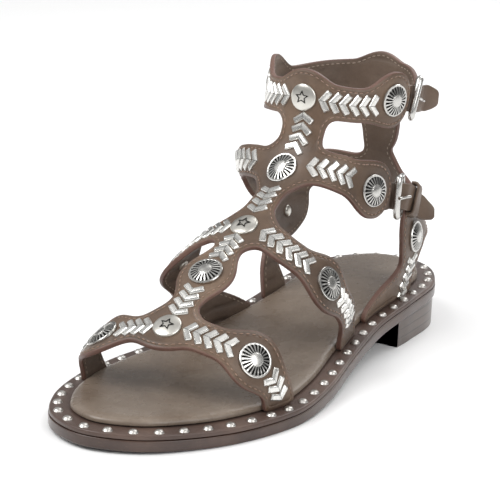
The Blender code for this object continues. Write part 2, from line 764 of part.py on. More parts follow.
def turned_button(name, place, profile, finish):
    """A round ornament bent to the leather, through rows of (radius, lift) from its foot to its crown."""
    turn = np.arange(BUTTON_SIDES) * 2 * math.pi / BUTTON_SIDES
    radius = np.array([row[0] for row in profile])[:, None]
    lift = np.array([row[1] for row in profile])[:, None] + ORNAMENT_CLEAR
    points = over_leather(place, radius * np.cos(turn), radius * np.sin(turn), lift + 0 * turn)
    bm = bmesh.new()
    rings = [[bm.verts.new(spot) for spot in ring] for ring in points]
    for low, high in zip(rings, rings[1:]):
        for k in range(BUTTON_SIDES):
            after = (k + 1) % BUTTON_SIDES
            bm.faces.new([low[k], low[after], high[after], high[k]])
    for ring, height in ((rings[0][::-1], profile[0][1]), (rings[-1], profile[-1][1])):
        middle = bm.verts.new(over_leather(place, 0, 0, height + ORNAMENT_CLEAR))
        for k in range(BUTTON_SIDES):
            bm.faces.new([ring[k], ring[(k + 1) % BUTTON_SIDES], middle])
    bmesh.ops.recalc_face_normals(bm, faces=bm.faces)
    return mesh_object(name, bm, finish)


def build_ornaments():
    rosette = (
        (ROSETTE_RADIUS, 0),
        (ROSETTE_RADIUS, ORNAMENT_HEIGHT * 0.45),
        (ROSETTE_RADIUS * 0.86, ORNAMENT_HEIGHT * 0.75),
        (ROSETTE_RADIUS * 0.30, ORNAMENT_HEIGHT),
    )
    star = (
        (STAR_RADIUS, 0),
        (STAR_RADIUS, ORNAMENT_HEIGHT * 0.35),
        (STAR_RADIUS * 0.80, ORNAMENT_HEIGHT * 0.65),
    )
    for name, place in ROSETTES.items():
        turned_button("rosette_" + name, place, rosette, "aged_silver")
    for name, place in STARS.items():
        turned_button("star_" + name, place, star, "aged_silver")


def strap_points(run, across):
    """Points on a buckle strap's inner face, across its run."""
    here, by_station, by_angle, out = last_frame(run[:, 0], run[:, 1])
    ahead = np.gradient(here + out * (run[:, 2] * LEATHER)[:, None], axis=0)
    side = np.cross(out, ahead)
    side /= np.linalg.norm(side, axis=1)[:, None]
    middle = here + out * (run[:, 2] * LEATHER)[:, None]
    return middle[:, None] + side[:, None] * across[..., None]


def build_buckle_straps():
    for name, rows in BUCKLE_STRAPS.items():
        run = run_through(rows, 2)
        taper = np.ones(len(run))
        taper[-2:] = TIP_TAPER
        across = BUCKLE_STRAP_HALF * taper[:, None] * np.array([-1.0, 0.0, 1.0])
        points = strap_points(run, across)
        bm = bmesh.new()
        grid = [[bm.verts.new(spot) for spot in row] for row in points]
        for low, high in zip(grid, grid[1:]):
            for k in range(2):
                bm.faces.new([low[k], high[k], high[k + 1], low[k + 1]])
        strap = mesh_object("buckle_strap_" + name, bm, "strap_leather")
        wall = strap.modifiers.new("wall", "SOLIDIFY")
        wall.thickness = BUCKLE_STRAP_THICK
        wall.offset = 1


def bent_wire(name, points, radius, closed, finish):
    curve = bpy.data.curves.new(name, "CURVE")
    curve.dimensions = "3D"
    curve.bevel_depth = radius
    curve.bevel_resolution = 1
    curve.use_fill_caps = not closed
    spline = curve.splines.new("POLY")
    spline.points.add(len(points) - 1)
    spline.points.foreach_set("co", np.hstack([points, np.ones((len(points), 1))]).ravel())
    spline.use_cyclic_u = closed
    return add_object(name, curve, finish)


def build_buckles():
    half_long, half_high = FRAME_LONG / 2, FRAME_HIGH / 2
    for name, (station, angle, turn) in BUCKLES.items():
        place = (station, angle)
        across, up, lift = np.array(
            [
                # along the strap, across it, height over the leather
                (-1.00, -0.80, FRONT_BAR_LIFT),
                (-1.00, 0.80, FRONT_BAR_LIFT),
                (-0.75, 1.00, FRONT_BAR_LIFT),
                (0.00, 1.00, (FRONT_BAR_LIFT + BACK_BAR_LIFT) / 2),
                (0.75, 1.00, BACK_BAR_LIFT),
                (1.00, 0.80, BACK_BAR_LIFT),
                (1.00, -0.80, BACK_BAR_LIFT),
                (0.75, -1.00, BACK_BAR_LIFT),
                (0.00, -1.00, (FRONT_BAR_LIFT + BACK_BAR_LIFT) / 2),
                (-0.75, -1.00, FRONT_BAR_LIFT),
            ]
        ).T
        ring = over_leather(place, *turned(across * half_long, up * half_high, turn), lift)
        bent_wire("buckle_frame_" + name, ring, WIRE_RADIUS, True, "aged_silver")
        prong = np.array(
            [
                (0.80, PRONG_LIFT),
                (0.10, FRONT_BAR_LIFT + WIRE_RADIUS * 0.9 + PRONG_RADIUS),
                (-0.80, FRONT_BAR_LIFT + WIRE_RADIUS + CLEAR + PRONG_RADIUS),
                (-1.25, FRONT_BAR_LIFT + WIRE_RADIUS + CLEAR + PRONG_RADIUS),
            ]
        )
        pin = over_leather(place, *turned(prong[:, 0] * half_long, 0, turn), prong[:, 1])
        bent_wire("buckle_prong_" + name, pin, PRONG_RADIUS, False, "aged_silver")


def build_keeper():
    """A leather loop sewn to the back strap, over the lower buckle strap."""
    inner_half = BUCKLE_STRAP_HALF + KEEPER_ROOM
    top = STRAP_LIFT * LEATHER + BUCKLE_STRAP_THICK + KEEPER_ROOM
    profile = (
        (-inner_half, CLEAR),
        (-inner_half, top),
        (inner_half, top),
        (inner_half, CLEAR),
        (inner_half + KEEPER_THICK, CLEAR),
        (inner_half + KEEPER_THICK, top + KEEPER_THICK),
        (-inner_half - KEEPER_THICK, top + KEEPER_THICK),
        (-inner_half - KEEPER_THICK, CLEAR),
    )
    up, lift = np.array(profile).T
    bm = bmesh.new()
    ends = []
    for across in (-KEEPER_WIDE / 2, KEEPER_WIDE / 2):
        spots = over_leather(KEEPER[:2], *turned(across, up, KEEPER[2]), lift)
        ends.append([bm.verts.new(spot) for spot in spots])
    for corners, flip in zip(ends, (False, True)):
        for quad in ((0, 1, 6, 7), (1, 2, 5, 6), (2, 3, 4, 5)):
            face = [corners[k] for k in quad]
            bm.faces.new(face[::-1] if flip else face)
    for k in range(8):
        after = (k + 1) % 8
        bm.faces.new([ends[0][k], ends[1][k], ends[1][after], ends[0][after]])
    bmesh.ops.recalc_face_normals(bm, faces=bm.faces)
    mesh_object("keeper_lower", bm, "strap_leather")


def main():
    clear_scene()
    for name in (SHOE, CUTTERS):
        group = bpy.data.collections.new(name)
        bpy.context.scene.collection.children.link(group)
    build_sole()
    build_upper()
    build_ornaments()
    build_buckle_straps()
    build_buckles()
    build_keeper()


main()
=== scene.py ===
"""The looks of the studded flat sandal: lasted leather straps, silver ornaments, buckles and a studded sole."""

import math

import bpy
import numpy as np
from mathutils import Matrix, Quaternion, Vector


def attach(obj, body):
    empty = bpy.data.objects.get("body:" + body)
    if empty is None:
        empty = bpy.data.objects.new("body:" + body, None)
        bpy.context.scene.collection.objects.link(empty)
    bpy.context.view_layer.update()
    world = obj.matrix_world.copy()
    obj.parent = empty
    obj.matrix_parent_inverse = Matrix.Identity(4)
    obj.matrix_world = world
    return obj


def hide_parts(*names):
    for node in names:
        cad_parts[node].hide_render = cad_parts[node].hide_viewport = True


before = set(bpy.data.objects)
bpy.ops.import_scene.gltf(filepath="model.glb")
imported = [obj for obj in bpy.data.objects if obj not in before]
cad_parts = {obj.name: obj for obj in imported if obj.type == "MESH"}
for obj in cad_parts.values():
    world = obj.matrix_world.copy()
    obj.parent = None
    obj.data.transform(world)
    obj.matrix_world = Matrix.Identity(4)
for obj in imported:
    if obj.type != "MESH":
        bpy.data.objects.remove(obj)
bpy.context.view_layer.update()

# Driving sizes, in metres. The toe points to -Y, and +X is the outer side of this left shoe.
SOLE_LENGTH = 0.250
BALL_WIDTH = 0.0985
OUTSOLE_THICK = 0.0047
MIDSOLE_THICK = 0.0021
INSOLE_THICK = 0.0032
HEEL_RISE = 0.0216
INSTEP_HEIGHT = 0.0811
COLLAR_HEIGHT = 0.1326
ANKLE_WIDTH = 0.065
ANKLE_DEPTH = 0.076
LEATHER = 0.0022
CLEAR = 0.0003
BALL_RISE = OUTSOLE_THICK + MIDSOLE_THICK + CLEAR
STUD_INSET = 0.0036
STRAP_INSET = 0.0064
STRAP_HALF = 0.0078
ROSETTE_RADIUS = 0.0073
STAR_RADIUS = 0.0060
LOBE_MARGIN = 0.0050
FILLET = 0.0070
EDGE_ROUND = 0.0007
RIM_LIP = 0.0003
HEEL_BREAST = 0.730
HEEL_TAPER = 0.0015
HEEL_LIP = 0.0004
STUD_SPACING = 0.0102
STUD_RADIUS = 0.0020
STUD_HEIGHT = 0.0013
STUD_SIDES = 6
STUD_PROFILE = ((1.0, -0.6), (1.0, 0.18), (0.62, 0.78))
ORNAMENT_HEIGHT = 0.0022
ORNAMENT_CLEAR = 0.0005
BUTTON_SIDES = 12
BUCKLE_STRAP_HALF = 0.0060
BUCKLE_STRAP_THICK = 0.0017
FRAME_LONG = 0.0096
FRAME_HIGH = 0.0186
WIRE_RADIUS = 0.0010
FRONT_BAR_LIFT = 0.0016
BACK_BAR_LIFT = -0.0012
PRONG_RADIUS = 0.0007
PRONG_LIFT = 0.0034
KEEPER_WIDE = 0.0060
KEEPER_THICK = 0.0012
KEEPER_ROOM = 0.0008
PAD_ROUND = 0.60
STRAP_LIFT = 0.20
TIP_TAPER = (0.86, 0.45)

# Fineness of the solids.
EDGE_POINTS = 960
RING_POINTS = 720
STRAP_STEPS = 12
FINE_STATIONS = 200
SOLE_RUNGS = 40
GRID_STEP = 0.0043
GRID_COLUMNS = 46
FIRST_STATION = 0.10
LAST_STATION = 1.07
BACK_STATION = 0.55
SNAP = 0.22
SHORTEST_EDGE = 0.0005
WELD = 1e-6
NUDGE = 1e-3

# Colour, roughness and metal of each finish.
FINISHES = {
    "strap_leather": ((0.150, 0.085, 0.055), 0.55, 0.0),
    "rim_leather": ((0.075, 0.038, 0.028), 0.50, 0.0),
    "sole_edge": ((0.060, 0.032, 0.026), 0.50, 0.0),
    "insole_leather": ((0.200, 0.150, 0.115), 0.45, 0.0),
    "aged_silver": ((0.620, 0.590, 0.540), 0.30, 1.0),
}

# Sole edge: share of the length from the toe, inner and outer side as shares of the ball width.
SOLE_EDGE = (
    # along, inner, outer
    (0.000, -0.098, -0.098),
    (0.030, -0.295, 0.120),
    (0.100, -0.421, 0.294),
    (0.200, -0.492, 0.433),
    (0.300, -0.491, 0.497),
    (0.400, -0.430, 0.486),
    (0.520, -0.344, 0.431),
    (0.650, -0.296, 0.387),
    (0.780, -0.293, 0.389),
    (0.900, -0.253, 0.352),
    (0.980, -0.109, 0.202),
    (1.000, 0.042, 0.042),
)
# Top of the midsole along the foot, from the ball's height (0) to the heel's (1).
SEAT = (
    # along, rise
    (0.00, 0.110),
    (0.08, 0.045),
    (0.17, 0.000),
    (0.29, 0.000),
    (0.38, 0.090),
    (0.48, 0.290),
    (0.60, 0.575),
    (0.72, 0.840),
    (0.84, 0.980),
    (1.00, 1.010),
)
# The foot's body: ridge height above the ground and height of its widest line above the midsole,
# both as shares of the instep height, and the bulge there as a share of the ball width.
FOOT = (
    # along, ridge, girth, bulge
    (0.00, 0.166, 0.052, 0.000),
    (0.06, 0.291, 0.073, 0.000),
    (0.12, 0.389, 0.086, 0.000),
    (0.184, 0.482, 0.099, 0.000),
    (0.288, 0.679, 0.123, 0.005),
    (0.402, 0.852, 0.173, 0.020),
    (0.50, 1.000, 0.247, 0.036),
    (0.56, 1.068, 0.296, 0.036),
    (0.64, 1.019, 0.296, 0.030),
    (0.74, 0.871, 0.271, 0.030),
    (0.86, 0.723, 0.247, 0.020),
    (0.97, 0.575, 0.185, 0.000),
)
# The heel and ankle: front and back from the ankle's own axis as shares of the ankle depth, half widths
# as shares of the ankle width. The strap bows out on the inner side, where its section is fuller.
ANKLE_ALONG = 0.738
ANKLE_ACROSS = 0.020
ANKLE = (
    # height / collar height, front, back, outer half, inner half, inner fullness
    (0.000, -0.520, 0.757, 0.440, 0.375, 2.0),
    (0.159, -0.520, 0.757, 0.440, 0.375, 2.0),
    (0.313, -0.520, 0.730, 0.477, 0.430, 2.0),
    (0.426, -0.547, 0.671, 0.492, 0.495, 2.1),
    (0.538, -0.586, 0.599, 0.501, 0.600, 2.6),
    (0.651, -0.586, 0.546, 0.492, 0.650, 2.9),
    (0.764, -0.533, 0.510, 0.489, 0.540, 2.4),
    (0.877, -0.493, 0.493, 0.501, 0.510, 2.0),
    (1.000, -0.487, 0.500, 0.515, 0.515, 2.0),
    (1.205, -0.487, 0.500, 0.523, 0.523, 2.0),
)
FOOT_TO_ANKLE = 0.012
BLEND_RISE = 0.030
LEAST_BLEND = 0.02
FOOT_MIDDLE = -0.006
FOOT_REACH = 0.480
# The sections are centred on the sole low down, and on the ankle higher up.
SOLE_CENTRED = 0.231
ANKLE_CENTRED = 0.538
# The rails that carry the sections: where each leaves the ridge, and where it meets the sole or back.
RAILS = (
    # station, ridge along, ridge height, back along, back height (heights / collar height)
    (0.00, 0.028, 0.141, 0.028, -0.026),
    (0.15, 0.140, 0.261, 0.148, -0.026),
    (0.35, 0.288, 0.427, 0.360, -0.026),
    (0.50, 0.404, 0.532, 0.580, -0.026),
    (0.60, 0.484, 0.623, 0.780, -0.026),
    (0.68, 0.532, 0.714, 0.972, 0.035),
    (0.78, 0.568, 0.827, 0.972, 0.336),
    (0.88, 0.588, 0.924, 0.912, 0.615),
    (1.00, 0.588, 1.076, 0.888, 0.970),
    (1.08, 0.588, 1.185, 0.888, 1.123),
)

# Straps: each row is a place on the last, as station and angle, and the half width there,
# as a share of STRAP_HALF.
STRAPS = {
    "toe": (
        (0.236, -118, 1.20),
        (0.215, -95, 1.00),
        (0.190, -62, 1.00),
        (0.198, -30, 0.95),
        (0.215, 5, 1.00),
        (0.230, 50, 0.95),
        (0.262, 78, 1.00),
        (0.285, 100, 1.05),
        (0.290, 122, 1.25),
    ),
    "spine": (
        (0.215, 5, 1.00),
        (0.290, 2, 0.90),
        (0.360, -2, 1.00),
        (0.435, -3, 0.90),
        (0.505, -4, 1.10),
        (0.590, -4, 0.95),
        (0.665, -4, 1.10),
        (0.765, 1, 1.35),
        (0.855, 0, 1.20),
    ),
    "instep": (
        (0.515, -134, 1.25),
        (0.475, -98, 1.00),
        (0.458, -62, 1.00),
        (0.482, -34, 0.95),
        (0.505, -4, 1.00),
        (0.488, 30, 0.95),
        (0.495, 62, 1.00),
        (0.513, 100, 1.00),
        (0.510, 134, 1.25),
    ),
    "lower_ankle": (
        (0.710, 37, 1.15),
        (0.692, 15, 1.05),
        (0.670, -4, 1.00),
        (0.685, -25, 0.95),
        (0.702, -52, 1.00),
        (0.712, -80, 1.00),
        (0.712, -104, 1.00),
    ),
    "collar": (
        (0.915, 66, 1.00),
        (0.865, 26, 0.97),
        (0.855, 0, 1.00),
        (0.865, -26, 0.97),
        (0.915, -66, 1.00),
        (0.928, -100, 1.05),
        (0.949, -140, 1.20),
        (0.962, -180, 1.30),
    ),
    "collar_back": ((0.940, 129, 0.80), (0.957, 152, 1.15), (0.962, 180, 1.30)),
    "back_spine": (
        (0.852, 181, 0.80),
        (0.880, 183, 0.92),
        (0.905, 180, 1.30),
        (0.930, 180, 1.50),
        (0.962, 180, 1.30),
    ),
    "heel_outer": (
        (0.632, 140, 1.35),
        (0.658, 122, 1.10),
        (0.690, 99, 1.10),
        (0.722, 95, 1.05),
        (0.753, 101, 1.10),
    ),
    "outer_flare": ((0.655, 123, 1.00), (0.618, 127, 0.85), (0.576, 131, 0.70)),
    "outer_wing": (
        (0.718, 102, 1.00),
        (0.735, 120, 1.00),
        (0.760, 140, 1.00),
        (0.796, 156, 0.90),
        (0.832, 171, 0.80),
        (0.852, 181, 0.80),
    ),
    "heel_inner": (
        (0.588, -131, 1.15),
        (0.605, -112, 0.85),
        (0.630, -98, 0.90),
        (0.662, -86, 0.95),
        (0.692, -87, 0.95),
        (0.715, -91, 0.95),
        (0.740, -102, 1.00),
        (0.770, -116, 1.00),
        (0.800, -130, 1.00),
        (0.825, -145, 1.00),
        (0.840, -163, 0.90),
        (0.852, -179, 0.80),
    ),
}
# Places of the ornaments on the last. The leather swells into a lobe round each.
ROSETTES = {
    "toe_inner": (0.190, -62),
    "toe_outer": (0.262, 78),
    "spine": (0.360, -2),
    "front": (0.665, -4),
    "instep_inner": (0.458, -62),
    "instep_outer": (0.495, 62),
    "lower_inner": (0.702, -52),
    "lower_outer": (0.705, 37),
    "collar_inner": (0.915, -66),
    "collar_outer": (0.915, 66),
    "heel_inner": (0.690, -88),
    "heel_outer": (0.701, 103),
}
STARS = {"toe": (0.215, 8), "instep": (0.505, -4), "collar": (0.855, 0)}
# The two buckle straps: rows run from under the front lobe, through the frame, to the loose tip.
# Lift is the height of the strap's inner face over the leather, in shares of the leather's thickness.
BUCKLE_STRAPS = {
    "lower": (
        # station, angle, lift
        (0.708, 48, -1.90),
        (0.715, 52, -1.90),
        (0.721, 56, -1.90),
        (0.727, 60, -1.75),
        (0.731, 64, -1.10),
        (0.736, 68, -0.40),
        (0.740, 73, 0.20),
        (0.744, 79, 0.20),
        (0.747, 85, 0.20),
        (0.749, 91, 0.20),
        (0.750, 97, 0.20),
        (0.749, 102, 0.45),
        (0.747, 107, 1.10),
        (0.744, 112, 2.00),
        (0.740, 116, 3.00),
    ),
    "collar": (
        # station, angle, lift
        (0.921, 77, -1.90),
        (0.924, 84, -1.90),
        (0.928, 91, -1.90),
        (0.932, 98, -1.20),
        (0.934, 105, -0.30),
        (0.936, 111, 0.20),
        (0.938, 116, 0.40),
        (0.940, 120, 1.10),
        (0.941, 124, 2.30),
        (0.942, 128, 3.80),
    ),
}
# Buckles and keeper: station and angle, and the turn in degrees from the line of equal station.
BUCKLES = {"lower": (0.734, 66, 30), "collar": (0.934, 104, 0)}
KEEPER = (0.749, 91, 6)
# Fineness and finish of what is seen.
SHEET_STEP = 0.0011
EDGE_ROLL = 0.0005
STITCH_PITCH = 0.0027
STITCH_INSET = 0.0019
CHEVRON_STEP = 0.0045
SLOTS = 22
EYE = (0.3934, -0.6728, 0.2866)
AIM = (-0.0151, 0.0100, 0.0485)
LENS = 134
ROLL = 2.09
BAR_LONG = 0.0054
BAR_HALF = 0.00150
BAR_HEIGHT = 0.0012
BAR_GAP = 0.0001
BAR_LEAN = math.radians(56)


def curve_at(where, table, column):
    """Height of a smooth curve through one column of a table, read at its first column."""
    rows = np.array(table, float)
    at, value = rows[:, 0], rows[:, column]
    gap = np.diff(at)
    slope = np.diff(value) / gap
    lean = np.empty_like(value)
    lean[0], lean[-1] = slope[0], slope[-1]
    lean[1:-1] = (slope[:-1] * gap[1:] + slope[1:] * gap[:-1]) / (gap[1:] + gap[:-1])
    where = np.clip(np.asarray(where, float), at[0], at[-1])
    i = np.clip(np.searchsorted(at, where, side="right") - 1, 0, len(at) - 2)
    t = (where - at[i]) / gap[i]
    rest = 1 - t
    return (
        (1 + 2 * t) * rest**2 * value[i]
        + t * rest**2 * gap[i] * lean[i]
        + t**2 * (3 - 2 * t) * value[i + 1]
        - t**2 * rest * gap[i] * lean[i + 1]
    )


def edge_curve():
    """The sole's outer edge as a closed smooth curve, evenly spaced, counterclockwise from the toe."""
    inner = [(row[1], row[0]) for row in SOLE_EDGE]
    outer = [(row[2], row[0]) for row in SOLE_EDGE]
    ring = np.array(outer + inner[-2:0:-1])
    ring = ring * (BALL_WIDTH, SOLE_LENGTH) - (0, SOLE_LENGTH / 2)
    ahead = np.roll(ring, -1, axis=0)
    behind = np.roll(ring, 1, axis=0)
    gap = np.linalg.norm(ahead - ring, axis=1)[:, None]
    back_gap = np.roll(gap, 1, axis=0)
    lean = ((ahead - ring) / gap * back_gap + (ring - behind) / back_gap * gap) / (gap + back_gap)
    t = np.linspace(0, 1, 40, endpoint=False)[None, :, None]
    rest = 1 - t
    a, b = ring[:, None], ahead[:, None]
    lean_a, lean_b, span = lean[:, None], np.roll(lean, -1, axis=0)[:, None], gap[:, None]
    fine = (
        (1 + 2 * t) * rest**2 * a
        + t * rest**2 * span * lean_a
        + t**2 * (3 - 2 * t) * b
        - t**2 * rest * span * lean_b
    ).reshape(-1, 2)
    return even_ring(fine, EDGE_POINTS)


def even_ring(points, count):
    """A closed ring of points spaced evenly."""
    closed = np.vstack([points, points[:1]])
    run = np.concatenate([[0], np.cumsum(np.linalg.norm(np.diff(closed, axis=0), axis=1))])
    where = np.arange(count) * run[-1] / count
    return np.stack([np.interp(where, run, closed[:, k]) for k in (0, 1)], axis=1)


def inset_ring(inset, count):
    """The sole's edge moved inwards by inset."""
    edge = edge_curve()
    run = np.roll(edge, -3, axis=0) - np.roll(edge, 3, axis=0)
    run /= np.linalg.norm(run, axis=1)[:, None]
    return even_ring(edge + inset * np.stack([-run[:, 1], run[:, 0]], axis=1), count)


def side_lines(inset):
    """Inner and outer x of the sole's edge moved inwards by inset, as a function of y."""
    ring = inset_ring(inset, RING_POINTS)
    toe, heel = np.argmin(ring[:, 1]), np.argmax(ring[:, 1])
    outer = np.roll(ring, -toe, axis=0)[: (heel - toe) % RING_POINTS + 1]
    inner = np.roll(ring, -heel, axis=0)[: (toe - heel) % RING_POINTS + 1][::-1]
    return lambda y: (np.interp(y, inner[:, 1], inner[:, 0]), np.interp(y, outer[:, 1], outer[:, 0]))


def along(y):
    return y / SOLE_LENGTH + 0.5


def seat_height(y):
    """Top of the midsole, where the straps and the insole sit."""
    return BALL_RISE + (HEEL_RISE - BALL_RISE) * np.clip(curve_at(along(y), SEAT, 1), 0, None)


strap_sides = side_lines(STRAP_INSET)


def body_depth(points):
    """Below zero inside the foot that the straps were lasted on, above zero outside."""
    x, y, z = points[..., 0], points[..., 1], points[..., 2]
    share = np.clip(along(y), FOOT[0][0], FOOT[-1][0])
    inner, outer = strap_sides((share - 0.5) * SOLE_LENGTH)
    middle, half = (inner + outer) / 2, (outer - inner) / 2
    seat = seat_height((share - 0.5) * SOLE_LENGTH)
    ridge = INSTEP_HEIGHT * curve_at(share, FOOT, 1)
    girth = seat + INSTEP_HEIGHT * curve_at(share, FOOT, 2)
    swell = np.clip((z - seat) / (girth - seat), 0, 1)
    half = half + BALL_WIDTH * curve_at(share, FOOT, 3) * swell**2 * (3 - 2 * swell)
    rise = np.clip((z - girth) / (ridge - girth), 0, None)
    foot = (np.hypot((x - middle) / half, rise) - 1) * half
    foot = np.maximum(foot, np.abs(y - FOOT_MIDDLE * SOLE_LENGTH) - FOOT_REACH * SOLE_LENGTH)
    level = np.clip(z / COLLAR_HEIGHT, 0, ANKLE[-1][0])
    axis = (ANKLE_ALONG - 0.5) * SOLE_LENGTH
    front = axis + ANKLE_DEPTH * curve_at(level, ANKLE, 1)
    back = axis + ANKLE_DEPTH * curve_at(level, ANKLE, 2)
    off = x - ANKLE_ACROSS * BALL_WIDTH
    wide = ANKLE_WIDTH * np.where(off > 0, curve_at(level, ANKLE, 3), curve_at(level, ANKLE, 4))
    full = np.where(off > 0, 2, curve_at(level, ANKLE, 5))
    reach = np.abs((y - (front + back) / 2) / (back - front) * 2)
    ankle = ((np.abs(off / wide) ** full + reach**full) ** (1 / full) - 1) * wide
    blend = FOOT_TO_ANKLE * np.clip((z - seat) / BLEND_RISE, LEAST_BLEND, 1)
    mix = np.clip(0.5 + 0.5 * (ankle - foot) / blend, 0, 1)
    return ankle * (1 - mix) + foot * mix - blend * mix * (1 - mix)


def on_last(station, angle):
    """The leather's outer face at a station along the shoe, and at degrees from the ridge, + outwards."""
    station, angle = np.broadcast_arrays(np.asarray(station, float), np.radians(angle))
    ridge_y, back_y = ((curve_at(station, RAILS, k) - 0.5) * SOLE_LENGTH for k in (1, 3))
    ridge_z, back_z = (curve_at(station, RAILS, k) * COLLAR_HEIGHT for k in (2, 4))
    up_y, up_z = ridge_y - back_y, ridge_z - back_z
    size = np.hypot(up_y, up_z)
    up_y, up_z = up_y / size, up_z / size
    middle_y, middle_z = (ridge_y + back_y) / 2, (ridge_z + back_z) / 2
    inner, outer = strap_sides(middle_y)
    low = np.clip((ANKLE_CENTRED - middle_z / COLLAR_HEIGHT) / (ANKLE_CENTRED - SOLE_CENTRED), 0, 1)
    middle_x = (inner + outer) / 2 * low + ANKLE_ACROSS * BALL_WIDTH * (1 - low)
    centre = np.stack([middle_x, middle_y, middle_z], axis=-1)
    aim = np.stack([np.sin(angle), np.cos(angle) * up_y, np.cos(angle) * up_z], axis=-1)
    near, far = np.zeros(station.shape), np.full(station.shape, SOLE_LENGTH / 2)
    for _ in range(30):
        half = (near + far) / 2
        within = body_depth(centre + aim * half[..., None]) < 0
        near, far = np.where(within, half, near), np.where(within, far, half)
    return centre + aim * near[..., None]


def run_through(rows, steps):
    """A smooth run through the rows of a table, with so many steps between rows."""
    rows = np.array(rows, float)
    ends = np.vstack([2 * rows[0] - rows[1], rows, 2 * rows[-1] - rows[-2]])
    before, here, there, after = (ends[k : k + len(rows) - 1][:, None] for k in range(4))
    t = np.linspace(0, 1, steps, endpoint=False)[None, :, None]
    run = here + (there - before) / 2 * t
    run = run + (2 * before - 5 * here + 4 * there - after) / 2 * t**2
    run = run + (3 * here - before - 3 * there + after) / 2 * t**3
    return np.vstack([run.reshape(-1, rows.shape[1]), rows[-1:]])


def last_frame(station, angle):
    """Places on the last, their steps per unit of station and of angle, and the outward normals."""
    here = on_last(station, angle)
    by_station = (on_last(station + NUDGE, angle) - here) / NUDGE
    by_angle = (on_last(station, angle + NUDGE * 180) - here) / (NUDGE * 180)
    out = np.cross(by_angle, by_station)
    return here, by_station, by_angle, out / np.linalg.norm(out, axis=-1)[..., None]


def turned(across, up, degrees):
    """Distances across and up a place, read in axes turned by so many degrees."""
    cosine, sine = math.cos(math.radians(degrees)), math.sin(math.radians(degrees))
    return across * cosine - up * sine, across * sine + up * cosine


def strap_depth(points):
    """Below zero on the straps and above zero off them, measured along the leather from the nearest edge."""
    depth = np.full(points.shape[:-1], SOLE_LENGTH)
    edges = []
    for rows in STRAPS.values():
        run = run_through(rows, STRAP_STEPS)
        middles, halves = on_last(run[:, 0], run[:, 1]), run[:, 2] * STRAP_HALF
        edge = np.full(points.shape[:-1], SOLE_LENGTH)
        for middle, half in zip(middles, halves):
            edge = np.minimum(edge, np.linalg.norm(points - middle, axis=-1) - half)
        edges.append(edge)
    for places, radius in ((ROSETTES, ROSETTE_RADIUS), (STARS, STAR_RADIUS)):
        for place in places.values():
            edges.append(np.linalg.norm(points - on_last(*place), axis=-1) - radius - LOBE_MARGIN)
    for edge in edges:
        mix = np.clip(0.5 + 0.5 * (edge - depth) / FILLET, 0, 1)
        depth = edge * (1 - mix) + depth * mix - FILLET * mix * (1 - mix)
    return np.maximum(depth, seat_height(points[..., 1]) + CLEAR - points[..., 2])


def over_leather(places, across, up, lift):
    """Points round places on the last: across and up in each tangent plane, lift from the leather's outer face."""
    places = np.atleast_2d(np.array(places, float))
    centre, by_station, by_angle, out = last_frame(places[:, 0], places[:, 1])
    side = by_angle / np.linalg.norm(by_angle, axis=1)[:, None]
    rise = np.cross(out, side)
    slope = np.stack(
        [
            np.stack([(by_station * side).sum(1), (by_angle * side).sum(1)], axis=1),
            np.stack([(by_station * rise).sum(1), (by_angle * rise).sum(1)], axis=1),
        ],
        axis=1,
    )
    solve = np.linalg.inv(slope)
    shape = (len(places), np.broadcast(across, up, lift).shape[-1])
    across, up, lift = (np.broadcast_to(np.asarray(value, float), shape) for value in (across, up, lift))
    station, angle = np.repeat(places[:, :1], shape[1], 1), np.repeat(places[:, 1:], shape[1], 1)
    for _ in range(4):
        off = on_last(station, angle) - centre[:, None]
        miss = np.stack(
            [across - (off * side[:, None]).sum(-1), up - (off * rise[:, None]).sum(-1)], axis=-1
        )
        step = np.einsum("nij,nmj->nmi", solve, miss)
        station, angle = station + step[..., 0], angle + step[..., 1]
    here, _, _, normal = last_frame(station, angle)
    return here + normal * lift[..., None]


def local_turn(places, ahead):
    """The direction ahead at each place, as (across, up) in the tangent plane there."""
    _, _, by_angle, out = last_frame(places[:, 0], places[:, 1])
    side = by_angle / np.linalg.norm(by_angle, axis=1)[:, None]
    rise = np.cross(out, side)
    turn = np.stack([(ahead * side).sum(1), (ahead * rise).sum(1)], axis=1)
    return turn / np.linalg.norm(turn, axis=1)[:, None]


def edit(piece, work):
    """Runs work in edit mode on all of one piece."""
    bpy.ops.object.select_all(action="DESELECT")
    piece.select_set(True)
    bpy.context.view_layer.objects.active = piece
    bpy.ops.object.mode_set(mode="EDIT")
    bpy.ops.mesh.select_all(action="SELECT")
    work()
    bpy.ops.object.mode_set(mode="OBJECT")


def close_seams():
    bpy.ops.mesh.remove_doubles(threshold=1e-6)
    bpy.ops.mesh.dissolve_degenerate(threshold=1e-7)
    bpy.ops.mesh.normals_make_consistent(inside=False)


def laid_grid(name, across, along, place):
    """A grid primitive laid over a shape: place takes whole steps across and along, and gives the points."""
    bpy.ops.object.select_all(action="DESELECT")
    bpy.ops.mesh.primitive_grid_add(x_subdivisions=across, y_subdivisions=along, size=1)
    piece = bpy.context.object
    piece.name = piece.data.name = name
    flat = np.empty(len(piece.data.vertices) * 3)
    piece.data.vertices.foreach_get("co", flat)
    flat = flat.reshape(-1, 3) + 0.5
    steps = np.rint(flat[:, 0] * across).astype(int), np.rint(flat[:, 1] * along).astype(int)
    piece.data.vertices.foreach_set("co", np.ascontiguousarray(place(*steps), float).ravel())
    edit(piece, close_seams)
    return piece


def mesh_piece(name, points, faces):
    data = bpy.data.meshes.new(name)
    data.from_pydata(points.tolist(), [], faces if isinstance(faces, list) else faces.tolist())
    piece = bpy.data.objects.new(name, data)
    bpy.context.scene.collection.objects.link(piece)
    return piece


def template_of(piece):
    """Points and faces of a small piece that is copied many times; the piece itself is removed."""
    points = np.array([vert.co[:] for vert in piece.data.vertices])
    faces = [list(face.vertices) for face in piece.data.polygons]
    bpy.data.objects.remove(piece, do_unlink=True)
    return points, faces


